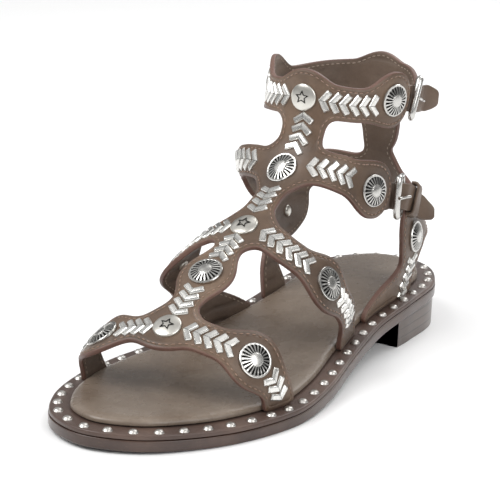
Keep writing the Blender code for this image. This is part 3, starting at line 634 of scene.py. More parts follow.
def copies(name, faces, spots):
    """One piece of many copies: spots holds each copy's points."""
    count, size = spots.shape[:2]
    all_faces = [[k * size + v for v in face] for k in range(count) for face in faces]
    return mesh_piece(name, spots.reshape(-1, 3), all_faces)


def mark(piece, name, values):
    piece.data.attributes.new(name, "FLOAT", "POINT").data.foreach_set("value", np.asarray(values, np.float32))


def dress(piece, finishes, nodes=(), smooth=40):
    """Materials, smooth faces, and what the piece stands for and rides on."""
    for finish in finishes:
        piece.data.materials.append(finish)
    bpy.ops.object.select_all(action="DESELECT")
    piece.select_set(True)
    bpy.context.view_layer.objects.active = piece
    bpy.ops.object.shade_smooth_by_angle(angle=math.radians(smooth))
    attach(piece, "root")
    if nodes:
        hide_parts(*nodes)
    return piece


def add(tree, kind, inputs=None, **settings):
    """A shader node with its settings, and its inputs set or linked."""
    made = tree.nodes.new("ShaderNode" + kind)
    for key, value in settings.items():
        setattr(made, key, value)
    for key, value in (inputs or {}).items():
        if isinstance(value, bpy.types.NodeSocket):
            tree.links.new(value, made.inputs[key])
        else:
            made.inputs[key].default_value = value
    return made


def shader_of(name, roughness, metallic=0.0, coat=0.0, sheen=0.0):
    material = bpy.data.materials.new(name)
    material.use_nodes = True
    tree = material.node_tree
    shader = tree.nodes["Principled BSDF"]
    shader.inputs["Roughness"].default_value = roughness
    shader.inputs["Metallic"].default_value = metallic
    shader.inputs["Coat Weight"].default_value = coat
    shader.inputs["Coat Roughness"].default_value = 0.3
    shader.inputs["Sheen Weight"].default_value = sheen
    where = add(tree, "TexCoord").outputs["Object"]
    return material, tree, shader, where


def ramp(tree, value, stops):
    made = add(tree, "ValToRGB", {"Fac": value})
    while len(made.color_ramp.elements) < len(stops):
        made.color_ramp.elements.new(0.5)
    for element, (place, colour) in zip(made.color_ramp.elements, stops):
        element.position = place
        element.color = (*colour, 1) if isinstance(colour, tuple) else (colour, colour, colour, 1)
    return made.outputs["Color"]


def mixed(tree, share, first, second, blend="MIX"):
    made = add(tree, "Mix", data_type="RGBA", blend_type=blend)
    for key, value in ((0, share), (6, first), (7, second)):
        if isinstance(value, bpy.types.NodeSocket):
            tree.links.new(value, made.inputs[key])
        else:
            made.inputs[key].default_value = (*value, 1) if isinstance(value, tuple) else value
    return made.outputs[2]


def noise(tree, where, scale, detail=3.0, rough=0.55, stretch=(1, 1, 1)):
    if stretch != (1, 1, 1):
        where = add(tree, "Mapping", {"Vector": where, "Scale": stretch}).outputs["Vector"]
    made = add(tree, "TexNoise", {"Vector": where, "Scale": scale, "Detail": detail, "Roughness": rough})
    return made.outputs["Fac"]


def bump(tree, shader, heights):
    """Bumps of (height, strength, depth in metres), one on the other."""
    normal = None
    for height, strength, depth in heights:
        inputs = {"Height": height, "Strength": strength, "Distance": depth}
        if normal:
            inputs["Normal"] = normal
        normal = add(tree, "Bump", inputs).outputs["Normal"]
    tree.links.new(normal, shader.inputs["Normal"])


def grain(tree, where, scale):
    cells = add(tree, "TexVoronoi", {"Vector": where, "Scale": scale}, feature="DISTANCE_TO_EDGE")
    return ramp(tree, cells.outputs["Distance"], ((0.0, 0.0), (0.16, 0.8), (0.5, 1.0)))


def leather(name, deep, plain, worn, roughness, pore_scale=1500, edge=None, edge_width=1.6, creases=0.25, folds=0.0):
    """Smooth hide: mottled dye, fine pores, soft creases, a burnished band along a cut edge, and folds with painted
    shade in their troughs.
    """
    material, tree, shader, where = shader_of(name, roughness, coat=0.12, sheen=0.05)
    patches = noise(tree, where, 32, 5, 0.6)
    colour = ramp(tree, patches, ((0.30, deep), (0.52, plain), (0.74, worn)))
    flecks = ramp(tree, noise(tree, where, 900, 2), ((0.35, 0.90), (0.65, 1.06)))
    colour = mixed(tree, 0.55, colour, flecks, "MULTIPLY")
    heights = [
        (noise(tree, where, 55, 3, 0.5, (1, 1, 2.2)), creases, 0.0012),
        (grain(tree, where, pore_scale), 0.22, 0.00012),
    ]
    if edge:
        near = add(tree, "Attribute", attribute_name="edge").outputs["Fac"]
        broken = add(tree, "Math", {0: near, 1: noise(tree, where, 260, 3)}, operation="ADD").outputs[0]
        band = ramp(tree, broken, ((0.30, 1.0), (0.30 + 0.25 * edge_width, 0.0)))
        colour = mixed(tree, band, colour, edge)
        groove = ramp(tree, near, ((0.10, 0.35), (0.24, 1.0), (0.33, 0.72), (0.42, 0.30), (0.52, 0.78), (0.66, 1.0)))
        heights.append((groove, 0.6, 0.0007))
    if folds:
        setting = {"Vector": where, "Scale": math.pi / 10 / folds, "Distortion": 5, "Detail": 1.5, "Detail Scale": 0.8}
        waves = add(tree, "TexWave", setting, bands_direction="Z").outputs["Fac"]
        fold_and_shade = ramp(tree, waves, ((0.0, 0.35), (0.30, 0.80), (0.75, 1.0)))
        fold_and_shade = mixed(tree, ramp(tree, noise(tree, where, 45, 2), ((0.40, 0.0), (0.60, 1.0))), fold_and_shade, (1, 1, 1))
        # The fold troughs are painted darker in the colour as painted shade, and the same bands bump the surface.
        colour = mixed(tree, 0.35, colour, fold_and_shade, "MULTIPLY")
        heights.append((fold_and_shade, 0.8, 0.0010))
    tree.links.new(colour, shader.inputs["Base Color"])
    gloss = ramp(tree, noise(tree, where, 120, 3), ((0.3, roughness - 0.07), (0.7, roughness + 0.09)))
    tree.links.new(gloss, shader.inputs["Roughness"])
    bump(tree, shader, heights)
    return material


def silver(name, bright, dark, roughness):
    """Cast metal polished on its high spots, with dark patina left in its recesses."""
    material, tree, shader, where = shader_of(name, roughness, metallic=1.0)
    deep = add(tree, "Attribute", attribute_name="patina").outputs["Fac"]
    tarnish = ramp(tree, noise(tree, where, 300, 4), ((0.52, 0.0), (0.85, 0.22)))
    share = add(tree, "Math", {0: deep, 1: tarnish}, operation="MAXIMUM").outputs[0]
    tree.links.new(mixed(tree, share, bright, dark), shader.inputs["Base Color"])
    tree.links.new(ramp(tree, share, ((0.0, roughness), (1.0, 0.6))), shader.inputs["Roughness"])
    bump(tree, shader, [(noise(tree, where, 700, 2), 0.05, 0.0001)])
    return material


def painted_edge(name, low, high, roughness, layers=0.0, ribs=0.0):
    """The sole's dyed and waxed side, scuffed here and there, with faint lines between layers, or with ribs."""
    material, tree, shader, where = shader_of(name, roughness, coat=0.35)
    colour = ramp(tree, noise(tree, where, 60, 4), ((0.35, low), (0.70, high)))
    rub = ramp(tree, noise(tree, where, 240, 5, 0.65, (1, 1, 5)), ((0.60, 0.0), (0.76, 0.5)))
    colour = mixed(tree, rub, colour, tuple(min(1.0, value * 1.9 + 0.01) for value in high))
    heights = [(noise(tree, where, 500, 4, 0.6, (1, 1, 3)), 0.25, 0.0002)]
    if layers:
        lines = add(tree, "TexWave", {"Vector": where, "Scale": math.pi / 10 / layers}, bands_direction="Z")
        lines = ramp(tree, lines.outputs["Fac"], ((0.0, 0.0), (0.12, 1.0)))
        colour = mixed(tree, lines, tuple(value * 0.7 for value in low), colour)
        heights.append((lines, 0.3, 0.0002))
    if ribs:
        wave = add(tree, "TexWave", {"Vector": where, "Scale": math.pi / 10 / ribs}, bands_direction="Y")
        heights.append((wave.outputs["Fac"], 0.8, 0.0006))
    tree.links.new(colour, shader.inputs["Base Color"])
    bump(tree, shader, heights)
    return material


def thread(name, colour):
    material, tree, shader, where = shader_of(name, 0.7, sheen=0.2)
    shade = ramp(tree, noise(tree, where, 1800, 2), ((0.3, tuple(v * 0.7 for v in colour)), (0.7, colour)))
    tree.links.new(shade, shader.inputs["Base Color"])
    bump(tree, shader, [(noise(tree, where, 3000, 2), 0.3, 0.0001)])
    return material


strap_leather = leather(
    "strap_leather",
    (0.050, 0.029, 0.017),
    (0.102, 0.061, 0.036),
    (0.185, 0.120, 0.076),
    0.44,
    edge=(0.125, 0.060, 0.041),
    edge_width=0.9,
)
strap_edge = leather("strap_edge", (0.080, 0.038, 0.026), (0.118, 0.057, 0.040), (0.170, 0.092, 0.066), 0.50, 2200)
strap_lining = leather(
    "strap_lining", (0.084, 0.053, 0.035), (0.124, 0.083, 0.058), (0.178, 0.126, 0.092), 0.58, 1900, folds=0.0065
)
rim_leather = leather("rim_leather", (0.040, 0.022, 0.016), (0.066, 0.037, 0.027), (0.115, 0.071, 0.053), 0.40)
insole_leather = leather(
    "insole_leather", (0.118, 0.083, 0.058), (0.165, 0.124, 0.092), (0.215, 0.170, 0.132), 0.27, 1700, creases=0.10
)
buckle_leather = leather("buckle_leather", (0.062, 0.038, 0.024), (0.110, 0.070, 0.045), (0.168, 0.115, 0.079), 0.46)
sole_edge = painted_edge("sole_edge", (0.036, 0.017, 0.011), (0.074, 0.040, 0.028), 0.26)
heel_edge = painted_edge("heel_edge", (0.056, 0.036, 0.028), (0.102, 0.072, 0.058), 0.32, layers=0.0042)
tread_rubber = painted_edge("tread_rubber", (0.022, 0.016, 0.013), (0.045, 0.032, 0.026), 0.65, ribs=0.0030)
aged_silver = silver("aged_silver", (0.60, 0.59, 0.565), (0.020, 0.019, 0.018), 0.22)
star_silver = silver("star_silver", (0.66, 0.64, 0.59), (0.028, 0.026, 0.024), 0.30)
bar_silver = silver("bar_silver", (0.76, 0.75, 0.72), (0.060, 0.057, 0.053), 0.26)
stud_silver = silver("stud_silver", (0.56, 0.54, 0.51), (0.12, 0.11, 0.10), 0.36)
strap_thread = thread("strap_thread", (0.300, 0.190, 0.135))
lining_thread = thread("lining_thread", (0.330, 0.250, 0.190))


def sheet_stations():
    fine = np.linspace(FIRST_STATION, LAST_STATION, FINE_STATIONS)
    ridge = np.linalg.norm(np.diff(on_last(fine, 0), axis=0), axis=1)
    back = np.linalg.norm(np.diff(on_last(fine, 180), axis=0), axis=1)
    run = np.concatenate([[0], np.cumsum(np.where(fine[1:] < BACK_STATION, ridge, (ridge + back) / 2))])
    return np.interp(np.linspace(0, run[-1], round(run[-1] / SHEET_STEP) + 1), run, fine)


def edge_ends(quads):
    """Directed edges of the kept faces that have no face on their other side."""
    ends = np.concatenate([np.stack([quads[:, k], quads[:, (k + 1) % 4]], axis=1) for k in range(4)])
    size = quads.max() + 1
    ahead, back = ends[:, 0] * size + ends[:, 1], ends[:, 1] * size + ends[:, 0]
    return ends[~np.isin(ahead, back)]


def cut_sheet():
    """The sheet of straps on the last: places, faces, and the directed edges of its outline."""
    stations = sheet_stations()
    columns = round(0.225 / SHEET_STEP)
    angles = np.arange(columns) * 360 / columns - 180
    station, angle = np.meshgrid(stations, angles, indexing="ij")
    places = np.stack([station, angle], axis=-1).reshape(-1, 2)
    depth = strap_depth(on_last(places[:, 0], places[:, 1]))
    index = np.arange(len(places)).reshape(station.shape)
    after = np.roll(index, -1, axis=1)
    quads = np.stack([index[:-1], after[:-1], after[1:], index[1:]], axis=-1).reshape(-1, 4)
    quads = quads[depth[quads].mean(axis=1) < -EDGE_ROLL]
    for _ in range(4):
        starts, count = np.unique(edge_ends(quads)[:, 0], return_counts=True)
        crossed = starts[count > 1]
        if not len(crossed):
            break
        quads = quads[~np.isin(quads, crossed).any(axis=1)]
    used, quads = np.unique(quads, return_inverse=True)
    quads = quads.reshape(-1, 4)
    return places[used], depth[used], quads, edge_ends(quads)


def pull_to_edge(places):
    """Moves places to the start of the edge's roll, and gives the way out across the edge at each."""
    station, angle = places.T
    for _ in range(5):
        here, by_station, by_angle, out = last_frame(station, angle)
        depth = strap_depth(here)
        slope = np.stack(
            [
                (strap_depth(on_last(station + NUDGE, angle)) - depth) / NUDGE,
                (strap_depth(on_last(station, angle + NUDGE * 180)) - depth) / (NUDGE * 180),
            ],
            axis=1,
        )
        frame_steps = np.stack([by_station, by_angle], axis=2)
        metric = np.linalg.inv(np.einsum("nki,nkj->nij", frame_steps, frame_steps))
        step = np.einsum("nij,nj->ni", metric, slope)
        size = (slope * step).sum(1)
        move = np.clip(-(depth + EDGE_ROLL) / size, -0.002 / np.sqrt(size), 0.002 / np.sqrt(size))
        station, angle = station + step[:, 0] * move, angle + step[:, 1] * move
    way_out = np.einsum("nki,ni->nk", frame_steps, step)
    return np.stack([station, angle], axis=1), way_out / np.linalg.norm(way_out, axis=1)[:, None]


def outline_loops(ends):
    """The outline's points in order, one closed run for each edge loop."""
    after = dict(ends.tolist())
    loops = []
    while after:
        first, here = after.popitem()
        loop = [first]
        while here != first and here in after:
            loop.append(here)
            here = after.pop(here)
        loops.append(loop)
    return loops


def build_upper():
    """Straps of one leather piece, with rolled edges and a lining, and stitches along both faces."""
    places, depth, quads, ends = cut_sheet()
    rim = np.unique(ends)
    places[rim], way_out = pull_to_edge(places[rim])
    depth[rim] = -EDGE_ROLL
    outer, _, _, normal = last_frame(places[:, 0], places[:, 1])
    if np.dot(np.cross(outer[quads[0, 1]] - outer[quads[0, 0]], outer[quads[0, 2]] - outer[quads[0, 0]]), normal[quads[0, 0]]) < 0:
        quads, ends = quads[:, ::-1], ends[:, ::-1]
    inner = outer - normal * LEATHER
    count, at_rim = len(outer), np.zeros(len(outer), int)
    at_rim[rim] = np.arange(len(rim))
    roll = [
        (EDGE_ROLL * math.sin(math.radians(t)), EDGE_ROLL * (math.cos(math.radians(t)) - 1)) for t in (35, 68, 90)
    ]
    roll += [(out, -LEATHER - lift) for out, lift in roll[::-1]]
    points, faces, part = [outer, inner], [quads, quads[:, ::-1] + count], [0] * len(quads) + [2] * len(quads)
    rings = [rim]
    for k, (out, lift) in enumerate(roll):
        points.append(outer[rim] + way_out * out + normal[rim] * lift)
        rings.append(2 * count + k * len(rim) + np.arange(len(rim)))
    rings.append(rim + count)
    a, b = at_rim[ends[:, 0]], at_rim[ends[:, 1]]
    for ring, below in zip(rings, rings[1:]):
        faces.append(np.stack([ring[b], ring[a], below[a], below[b]], axis=1))
        part += [1] * len(a)
    upper = mesh_piece("strap_upper", np.vstack(points), np.vstack(faces))
    upper.data.polygons.foreach_set("material_index", part)
    from_edge = np.clip(-depth * 200, 0, 1)
    mark(upper, "edge", np.concatenate([from_edge, from_edge, np.zeros(len(rim) * len(roll))]))
    dress(upper, (strap_leather, strap_edge, strap_lining), ("upper",), 60)
    sew(outer, normal, way_out, at_rim, outline_loops(ends))


def sew(outer, normal, way_out, at_rim, loops):
    """Short stitches, evenly spaced along each edge but the ones tucked into the sole."""
    bpy.ops.object.select_all(action="DESELECT")
    bpy.ops.mesh.primitive_uv_sphere_add(segments=6, ring_count=4, radius=1)
    stitch, faces = template_of(bpy.context.object)
    spots = {"strap_stitches": [], "lining_stitches": []}
    for loop in loops:
        line = outer[loop] - way_out[at_rim[loop]] * (STITCH_INSET - EDGE_ROLL)
        closed = np.vstack([line, line[:1]])
        run = np.concatenate([[0], np.cumsum(np.linalg.norm(np.diff(closed, axis=0), axis=1))])
        where = np.arange(round(run[-1] / STITCH_PITCH)) * STITCH_PITCH
        normals = np.vstack([normal[loop], normal[loop[:1]]])

        def read(values, at):
            return np.stack([np.interp(at % run[-1], run, values[:, k]) for k in range(3)], axis=1)

        middle, out = read(closed, where), read(normals, where)
        ahead = read(closed, where + 0.0005) - read(closed, where - 0.0005)
        ahead /= np.linalg.norm(ahead, axis=1)[:, None] + 1e-9
        side = np.cross(out, ahead)
        free = middle[:, 2] > seat_height(middle[:, 1]) + 0.0045
        for name, lift in (("strap_stitches", 0.00006), ("lining_stitches", -LEATHER - 0.00002)):
            centre = middle + out * lift
            shape = ahead[:, None] * stitch[None, :, :1] * 0.00090 + side[:, None] * stitch[None, :, 1:2] * 0.00028
            shape = shape + out[:, None] * stitch[None, :, 2:] * 0.00020
            spots[name].append((centre[:, None] + shape)[free])
    for (name, rows), finish in zip(spots.items(), (strap_thread, lining_thread)):
        dress(copies(name, faces, np.vstack(rows)), (finish,), smooth=80)


def sole_loop(layers, tops, steps):
    """Columns round a sole layer's section: (inset, height, share of the way from the inner to the outer side)."""
    under, over = layers[0], layers[-1]
    columns = [(*under, share) for share in np.linspace(0, 1, steps + 1)]
    columns += [(*layer, 1) for layer in layers[1:-1]]
    columns += [(*over, share) for share in np.linspace(1, 0, steps + 1)]
    columns += [(*layer, 0) for layer in layers[-2:0:-1]]
    return columns + columns[:1], tops


def sole_piece(name, layers, start=0.0, rows=220, steps=14, crown=None):
    """A closed layer of the sole through its section's (inset, height), from its underside up."""
    columns, _ = sole_loop(layers, None, steps)
    turn = np.linspace(0 if start == 0 else math.pi / 2, math.pi, rows + 1)
    share = (1 - np.cos(turn)) / 2
    share = (share - share[0]) / (1 - share[0])
    made = []
    for inset, height, across in columns:
        ring = inset_ring(inset, RING_POINTS)
        low, high = ring[np.argmin(ring[:, 1])], ring[np.argmax(ring[:, 1])]
        first = low[1] if start == 0 else (start - 0.5) * SOLE_LENGTH
        y = first + (high[1] - first) * share
        inner, outer = side_lines(inset)(y)
        if start == 0:
            inner[0] = outer[0] = low[0]
        inner[-1] = outer[-1] = high[0]
        z = height(y)
        if crown:
            z = z + crown(inset, across, y)
        made.append(np.stack([inner + (outer - inner) * across, y, z], axis=1))
    made = np.array(made)
    return laid_grid(name, len(columns) - 1, rows, lambda column, row: made[column, row])


def raised(height, by):
    return lambda y: height(y) + by


def under_midsole(y):
    return seat_height(y) - MIDSOLE_THICK


def under_outsole(y):
    return under_midsole(y) - CLEAR - OUTSOLE_THICK


def rounded(height_under, height_over, inset, low_round, high_round):
    """Layers up a side with its lower and upper edge rounded: radii in metres."""
    rows = []
    for t in (90, 60, 30, 0):
        c, s = math.cos(math.radians(t)), math.sin(math.radians(t))
        rows.append((inset + low_round * (1 - c), raised(height_under, low_round * (1 - s))))
    for t in (0, 30, 60, 90):
        c, s = math.cos(math.radians(t)), math.sin(math.radians(t))
        rows.append((inset + high_round * (1 - c), raised(height_over, -high_round * (1 - s))))
    return rows


def build_sole():
    outsole = sole_piece("outsole_layer", rounded(under_outsole, raised(under_midsole, -CLEAR), 0, 0.0006, 0.0004))
    tread = [face.normal.z < -0.8 for face in outsole.data.polygons]
    outsole.data.polygons.foreach_set("material_index", np.array(tread, np.int32))
    dress(outsole, (sole_edge, tread_rubber), ("outsole",))
    heel = sole_piece(
        "stacked_heel",
        rounded(lambda y: 0 * y, raised(under_outsole, -CLEAR), HEEL_TAPER * 0.6, 0.0005, 0.0003),
        HEEL_BREAST,
        60,
    )
    dress(heel, (heel_edge,), ("heel",))
    rim = sole_piece("welt_rim", rounded(under_midsole, seat_height, RIM_LIP, 0.0003, 0.0007))
    dress(rim, (rim_leather,), ("midsole",))
    inset = STRAP_INSET + LEATHER + CLEAR
    under = raised(seat_height, CLEAR)
    pad = [(inset + 0.0006, under), (inset, raised(under, 0.0005)), (inset, raised(under, 0.0013))]
    for t in (20, 40, 60, 80):
        c, s = math.cos(math.radians(t)), math.sin(math.radians(t))
        pad.append((inset + 0.0034 * (1 - c), raised(under, 0.0013 + (INSOLE_THICK - 0.0015) * s)))
    pad.append((inset + 0.0050, raised(under, INSOLE_THICK)))
    insole = sole_piece("insole_pad", pad)
    dress(insole, (insole_leather,), ("insole",))


def build_studs():
    """Polished domes driven in all round the rim."""
    profile = ((0.0, -0.5), (1.06, -0.5), (1.06, 0.05), (1.0, 0.12), (0.90, 0.50), (0.66, 0.80), (0.36, 0.96), (0.0, 1.0))

    def dome(turn, ring):
        radius, rise = np.array(profile)[ring].T
        around = turn * 2 * math.pi / 16
        return np.stack([radius * np.cos(around), radius * np.sin(around), rise], axis=1)

    points, faces = template_of(laid_grid("stud", 16, len(profile) - 1, dome))
    line = inset_ring(STUD_INSET, RING_POINTS)
    length = np.linalg.norm(np.roll(line, -1, axis=0) - line, axis=1).sum()
    spots = even_ring(line, round(length / STUD_SPACING))
    at = np.column_stack([spots, seat_height(spots[:, 1])])
    studs = copies("rim_studs", faces, at[:, None] + points * (STUD_RADIUS, STUD_RADIUS, STUD_HEIGHT))
    dress(studs, (stud_silver,), smooth=50)


def round_pieces(places, profile, sides):
    """Round pieces on the leather: profile rows are (radius, lift), and each place gives one copy's points."""
    turn = np.arange(sides) * 2 * math.pi / sides

    def shape(column, row):
        radius, rise = np.array(profile)[row].T
        return np.stack([radius * np.cos(turn[column % sides]), radius * np.sin(turn[column % sides]), rise], axis=1)

    points, faces = template_of(laid_grid("turned", sides, len(profile) - 1, shape))
    return points, faces, over_leather(places, points[:, 0], points[:, 1], points[:, 2])


def build_rosettes():
    """Domed discs with dark slots that open like rays towards a raised rim."""
    rows = (
        # radius share, height on a ray, height in a slot, patina in a slot
        (0.00, 0.00, 0.00, 0),
        (1.00, 0.00, 0.00, 0),
        (1.00, 0.30, 0.30, 0),
        (0.97, 0.42, 0.42, 0),
        (0.90, 0.44, 0.44, 0),
        (0.875, 0.42, 0.40, 0),
        (0.868, 0.42, 0.14, 1),
        (0.72, 0.60, 0.26, 1),
        (0.55, 0.74, 0.42, 1),
        (0.44, 0.84, 0.60, 1),
        (0.38, 0.88, 0.84, 0.6),
        (0.30, 0.93, 0.93, 0),
        (0.12, 0.99, 0.99, 0),
        (0.00, 1.00, 1.00, 0),
    )
    table = np.array(rows)
    pitch = 2 * math.pi / SLOTS
    within = np.array([0.0, 0.40, 0.46, 0.94])

    def shape(column, row):
        spoke, k = np.divmod(column % (SLOTS * 4), 4)
        turn = (spoke + within[k]) * pitch
        radius = table[row, 0] * ROSETTE_RADIUS
        rise = np.where(k < 2, table[row, 1], table[row, 2]) * ORNAMENT_HEIGHT
        return np.stack([radius * np.cos(turn), radius * np.sin(turn), rise], axis=1)

    points, faces = template_of(laid_grid("rosette", SLOTS * 4, len(rows) - 1, shape))
    share = np.hypot(points[:, 0], points[:, 1]) / ROSETTE_RADIUS
    ray = np.interp(share, table[:0:-1, 0], table[:0:-1, 1]) * ORNAMENT_HEIGHT
    patina = np.where((share < 0.872) & (share > 0.32), np.clip((ray - points[:, 2]) / (0.2 * ORNAMENT_HEIGHT), 0, 1), 0)
    places = np.array(list(ROSETTES.values()), float)
    under = over_leather(places, points[:, 0], points[:, 1], ORNAMENT_CLEAR * 0.4)
    axis = last_frame(places[:, 0], places[:, 1])[3][:, None]
    bend = ((under - under.mean(axis=1, keepdims=True)) * axis).sum(axis=-1, keepdims=True)
    rise = points[:, 2:]
    spots = under + axis * (rise - np.where(rise > 0, 0.6, 0) * bend)
    for name, spot in zip(ROSETTES, spots):
        rosette = copies("ray_disc_" + name, faces, spot[None])
        mark(rosette, "patina", patina)
        dress(rosette, (aged_silver,), ("rosette_" + name,), 32)


def star_line(radius, count=5):
    turn = math.pi / 2 + np.arange(2 * count) * math.pi / count
    reach = np.where(np.arange(2 * count) % 2 == 0, radius, radius * 0.48)
    return np.stack([reach * np.cos(turn), reach * np.sin(turn)], axis=1)


def build_stars():
    """Plain domed discs with a small five-pointed star cut in."""
    profile = [(0, 0), (1, 0), (1, 0.30), (0.97, 0.44), (0.91, 0.52), (0.70, 0.66), (0.42, 0.77), (0.20, 0.81), (0, 0.82)]
    profile = [(radius * STAR_RADIUS, rise * ORNAMENT_HEIGHT) for radius, rise in profile]
    _, faces, spots = round_pieces(list(STARS.values()), profile, 48)
    corners = star_line(0.0027)
    outline = np.concatenate(
        [corners[k] + (corners[(k + 1) % 10] - corners[k]) * np.linspace(0, 1, 4, endpoint=False)[:, None] for k in range(10)]
    )
    reach = np.array([(0.84, -0.3), (0.84, 0.06), (1.18, 0.06), (1.18, -0.3)])

    def groove(column, row):
        ring, point = reach[column % 4], outline[row % len(outline)]
        rise = np.interp(np.linalg.norm(point, axis=1), [r for r, _ in profile[:1:-1]], [z for _, z in profile[:1:-1]])
        return np.column_stack([point * ring[:, :1], rise + ring[:, 1] * 0.0004])

    cut, cut_faces = template_of(laid_grid("star_cut", 4, len(outline), groove))
    lines = over_leather(list(STARS.values()), cut[:, 0], cut[:, 1], cut[:, 2] + ORNAMENT_CLEAR * 0.4)
    for name, spot, line in zip(STARS, spots + 0, lines):
        disc = copies("star_disc_" + name, faces, spot[None])
        dress(disc, (star_silver,), ("star_" + name,), 40)
        drawn = copies("star_cut_" + name, cut_faces, line[None])
        mark(drawn, "patina", np.ones(len(cut)))
        dress(drawn, (star_silver,))


def build_rivets():
    """The clenched backs of the ornaments, inside the straps."""
    profile = [(0, 0.0002), (0.0026, 0.0002), (0.0026, -0.0005), (0.0023, -0.0008), (0.0012, -0.0010), (0, -0.00105)]
    profile = [(radius, lift - LEATHER) for radius, lift in profile]
    places = list(ROSETTES.values()) + list(STARS.values())
    _, faces, spots = round_pieces(places, profile, 20)
    rivets = copies("rivet_backs", faces, spots)
    edit(rivets, lambda: bpy.ops.mesh.normals_make_consistent(inside=False))
    dress(rivets, (star_silver,))


# Rows of paired bars: strap, ornament they run from, ornament or sole they run to, how many, and whether
# their tips point back to the first (-1) or on to the second (1).
CHEVRONS = (
    ("toe", "star_toe", "toe_outer", 5, -1),
    ("toe", "toe_outer", None, 3, 1),
    ("toe", "star_toe", "toe_inner", 4, -1),
    ("toe", "toe_inner", None, 3, 1),
    ("spine", "star_toe", "spine", 4, -1),
    ("spine", "spine", "star_instep", 4, 1),
    ("instep", "star_instep", "instep_outer", 6, -1),
    ("instep", "instep_outer", None, 5, 1),
    ("instep", "star_instep", "instep_inner", 6, -1),
    ("instep", "instep_inner", None, 5, 1),
    ("spine", "star_instep", "front", 4, -1),
    ("spine", "front", "star_collar", 4, 1),
    ("lower_ankle", "front", "lower_outer", 5, -1),
    ("lower_ankle", "front", "lower_inner", 5, -1),
    ("lower_ankle", "lower_inner", None, 4, 1),
    ("collar", "star_collar", "collar_outer", 6, -1),
    ("collar", "star_collar", "collar_inner", 6, -1),
    ("collar", "collar_inner", None, 5, 1),
    ("heel_outer", "heel_outer", None, 5, 1),
    ("heel_inner", "heel_inner", None, 5, 1),
)


def build_chevrons():
    """Polished bars set in pairs, like arrowheads along the straps."""
    corners = ((0, -1), (1, -1), (1, -0.8), (1, 0.8), (1, 1), (0, 1))
    chamfer = (0, 0.35, 0, 0, 0.35, 0)
    layers = ((0, 0), (1, 0), (1, 0.30), (0.92, 0.55), (0.60, 0.92), (0, 1.0))
    cosine, sine = math.cos(BAR_LEAN), math.sin(BAR_LEAN)

    def bar_shape(column, row):
        end, wide = np.array(corners)[column % 6].T
        size, rise = np.array(layers)[row].T
        wide = wide * size * BAR_HALF
        mitre = (BAR_GAP - wide * cosine) / sine
        tip = BAR_LONG - (np.array(chamfer)[column % 6] + (1 - size)) * BAR_HALF
        along = np.where(end > 0, tip, mitre)
        x, y = -along * cosine + wide * sine, along * sine + wide * cosine
        return np.column_stack([x + BAR_LONG * cosine / 2, y, rise * BAR_HEIGHT])

    bar, faces = template_of(laid_grid("bar", 6, len(layers) - 1, bar_shape))
    pair = np.vstack([bar, bar * (1, -1, 1)])
    faces = faces + [[v + len(bar) for v in face[::-1]] for face in faces]
    spots = {**ROSETTES, **{"star_" + name: place for name, place in STARS.items()}}
    for number, (strap, first, last, count, tip) in enumerate(CHEVRONS):
        run = run_through(STRAPS[strap], 60)[:, :2]
        line = on_last(run[:, 0], run[:, 1])
        arc = np.concatenate([[0], np.cumsum(np.linalg.norm(np.diff(line, axis=0), axis=1))])
        start = arc[np.argmin(np.linalg.norm(line - on_last(*spots[first]), axis=1))]
        reach = ROSETTE_RADIUS if first in ROSETTES else STAR_RADIUS
        if last:
            end = arc[np.argmin(np.linalg.norm(line - on_last(*spots[last]), axis=1))]
            way = np.sign(end - start)
            final = ROSETTE_RADIUS if last in ROSETTES else STAR_RADIUS
            middle = (start + way * reach + end - way * final) / 2
            step = min(CHEVRON_STEP, (abs(end - start) - reach - final - 0.002) / count)
            at = middle + way * step * (np.arange(count) - (count - 1) / 2)
        else:
            way = np.sign(dict(ANGLE_WAY)[strap, first])
            at = start + way * (reach + CHEVRON_STEP * (0.75 + np.arange(count)))
        at = at[(at > 0.001) & (at < arc[-1] - 0.001)]
        places = np.stack([np.interp(at, arc, run[:, k]) for k in (0, 1)], axis=1)
        ahead = np.stack([np.interp(at + 0.001, arc, line[:, k]) - np.interp(at - 0.001, arc, line[:, k]) for k in range(3)], axis=1)
        turn = local_turn(places, ahead * way * tip)
        across = pair[None, :, 0] * turn[:, :1] - pair[None, :, 1] * turn[:, 1:]
        up = pair[None, :, 0] * turn[:, 1:] + pair[None, :, 1] * turn[:, :1]
        row = copies(f"bars_{number:02d}_{strap}", faces, over_leather(places, across, up, pair[:, 2] - 0.0001))
        mark(row, "patina", np.tile(np.clip(1 - pair[:, 2] / BAR_HEIGHT / 0.25, 0, 1), len(places)))
        dress(row, (bar_silver,), smooth=30)


# Which way along a strap's own rows a chevron row runs when it ends at the sole or the back.
ANGLE_WAY = (
    (("toe", "toe_outer"), 1),
    (("toe", "toe_inner"), -1),
    (("instep", "instep_outer"), 1),
    (("instep", "instep_inner"), -1),
    (("lower_ankle", "lower_inner"), 1),
    (("collar", "collar_inner"), 1),
    (("heel_outer", "heel_outer"), -1),
    (("heel_inner", "heel_inner"), -1),
)


def strip(name, middle, side, up, half, thick):
    """A band with rounded edges along a run of middles; side and up are unit ways at each, half its half width."""
    curve = [(-1, 0.25), (-1, 0.75), (-0.94, 0.95), (-0.84, 1), (0.84, 1), (0.94, 0.95), (1, 0.75), (1, 0.25)]
    curve += [(0.94, 0.05), (0.84, 0), (-0.84, 0), (-0.94, 0.05)]
    section = np.array(curve)
    half = np.broadcast_to(half, len(middle))

    def place(column, row):
        across, rise = section[column % len(section)].T
        inside = (row > 0) & (row < len(middle) + 1)
        k = np.clip(row - 1, 0, len(middle) - 1)
        reach = np.where(inside, across * half[k], 0)
        lift = np.where(inside, rise, 0.5) * thick
        return middle[k] + side[k] * reach[:, None] + up[k] * lift[:, None]

    return laid_grid(name, len(section), len(middle) + 1, place)


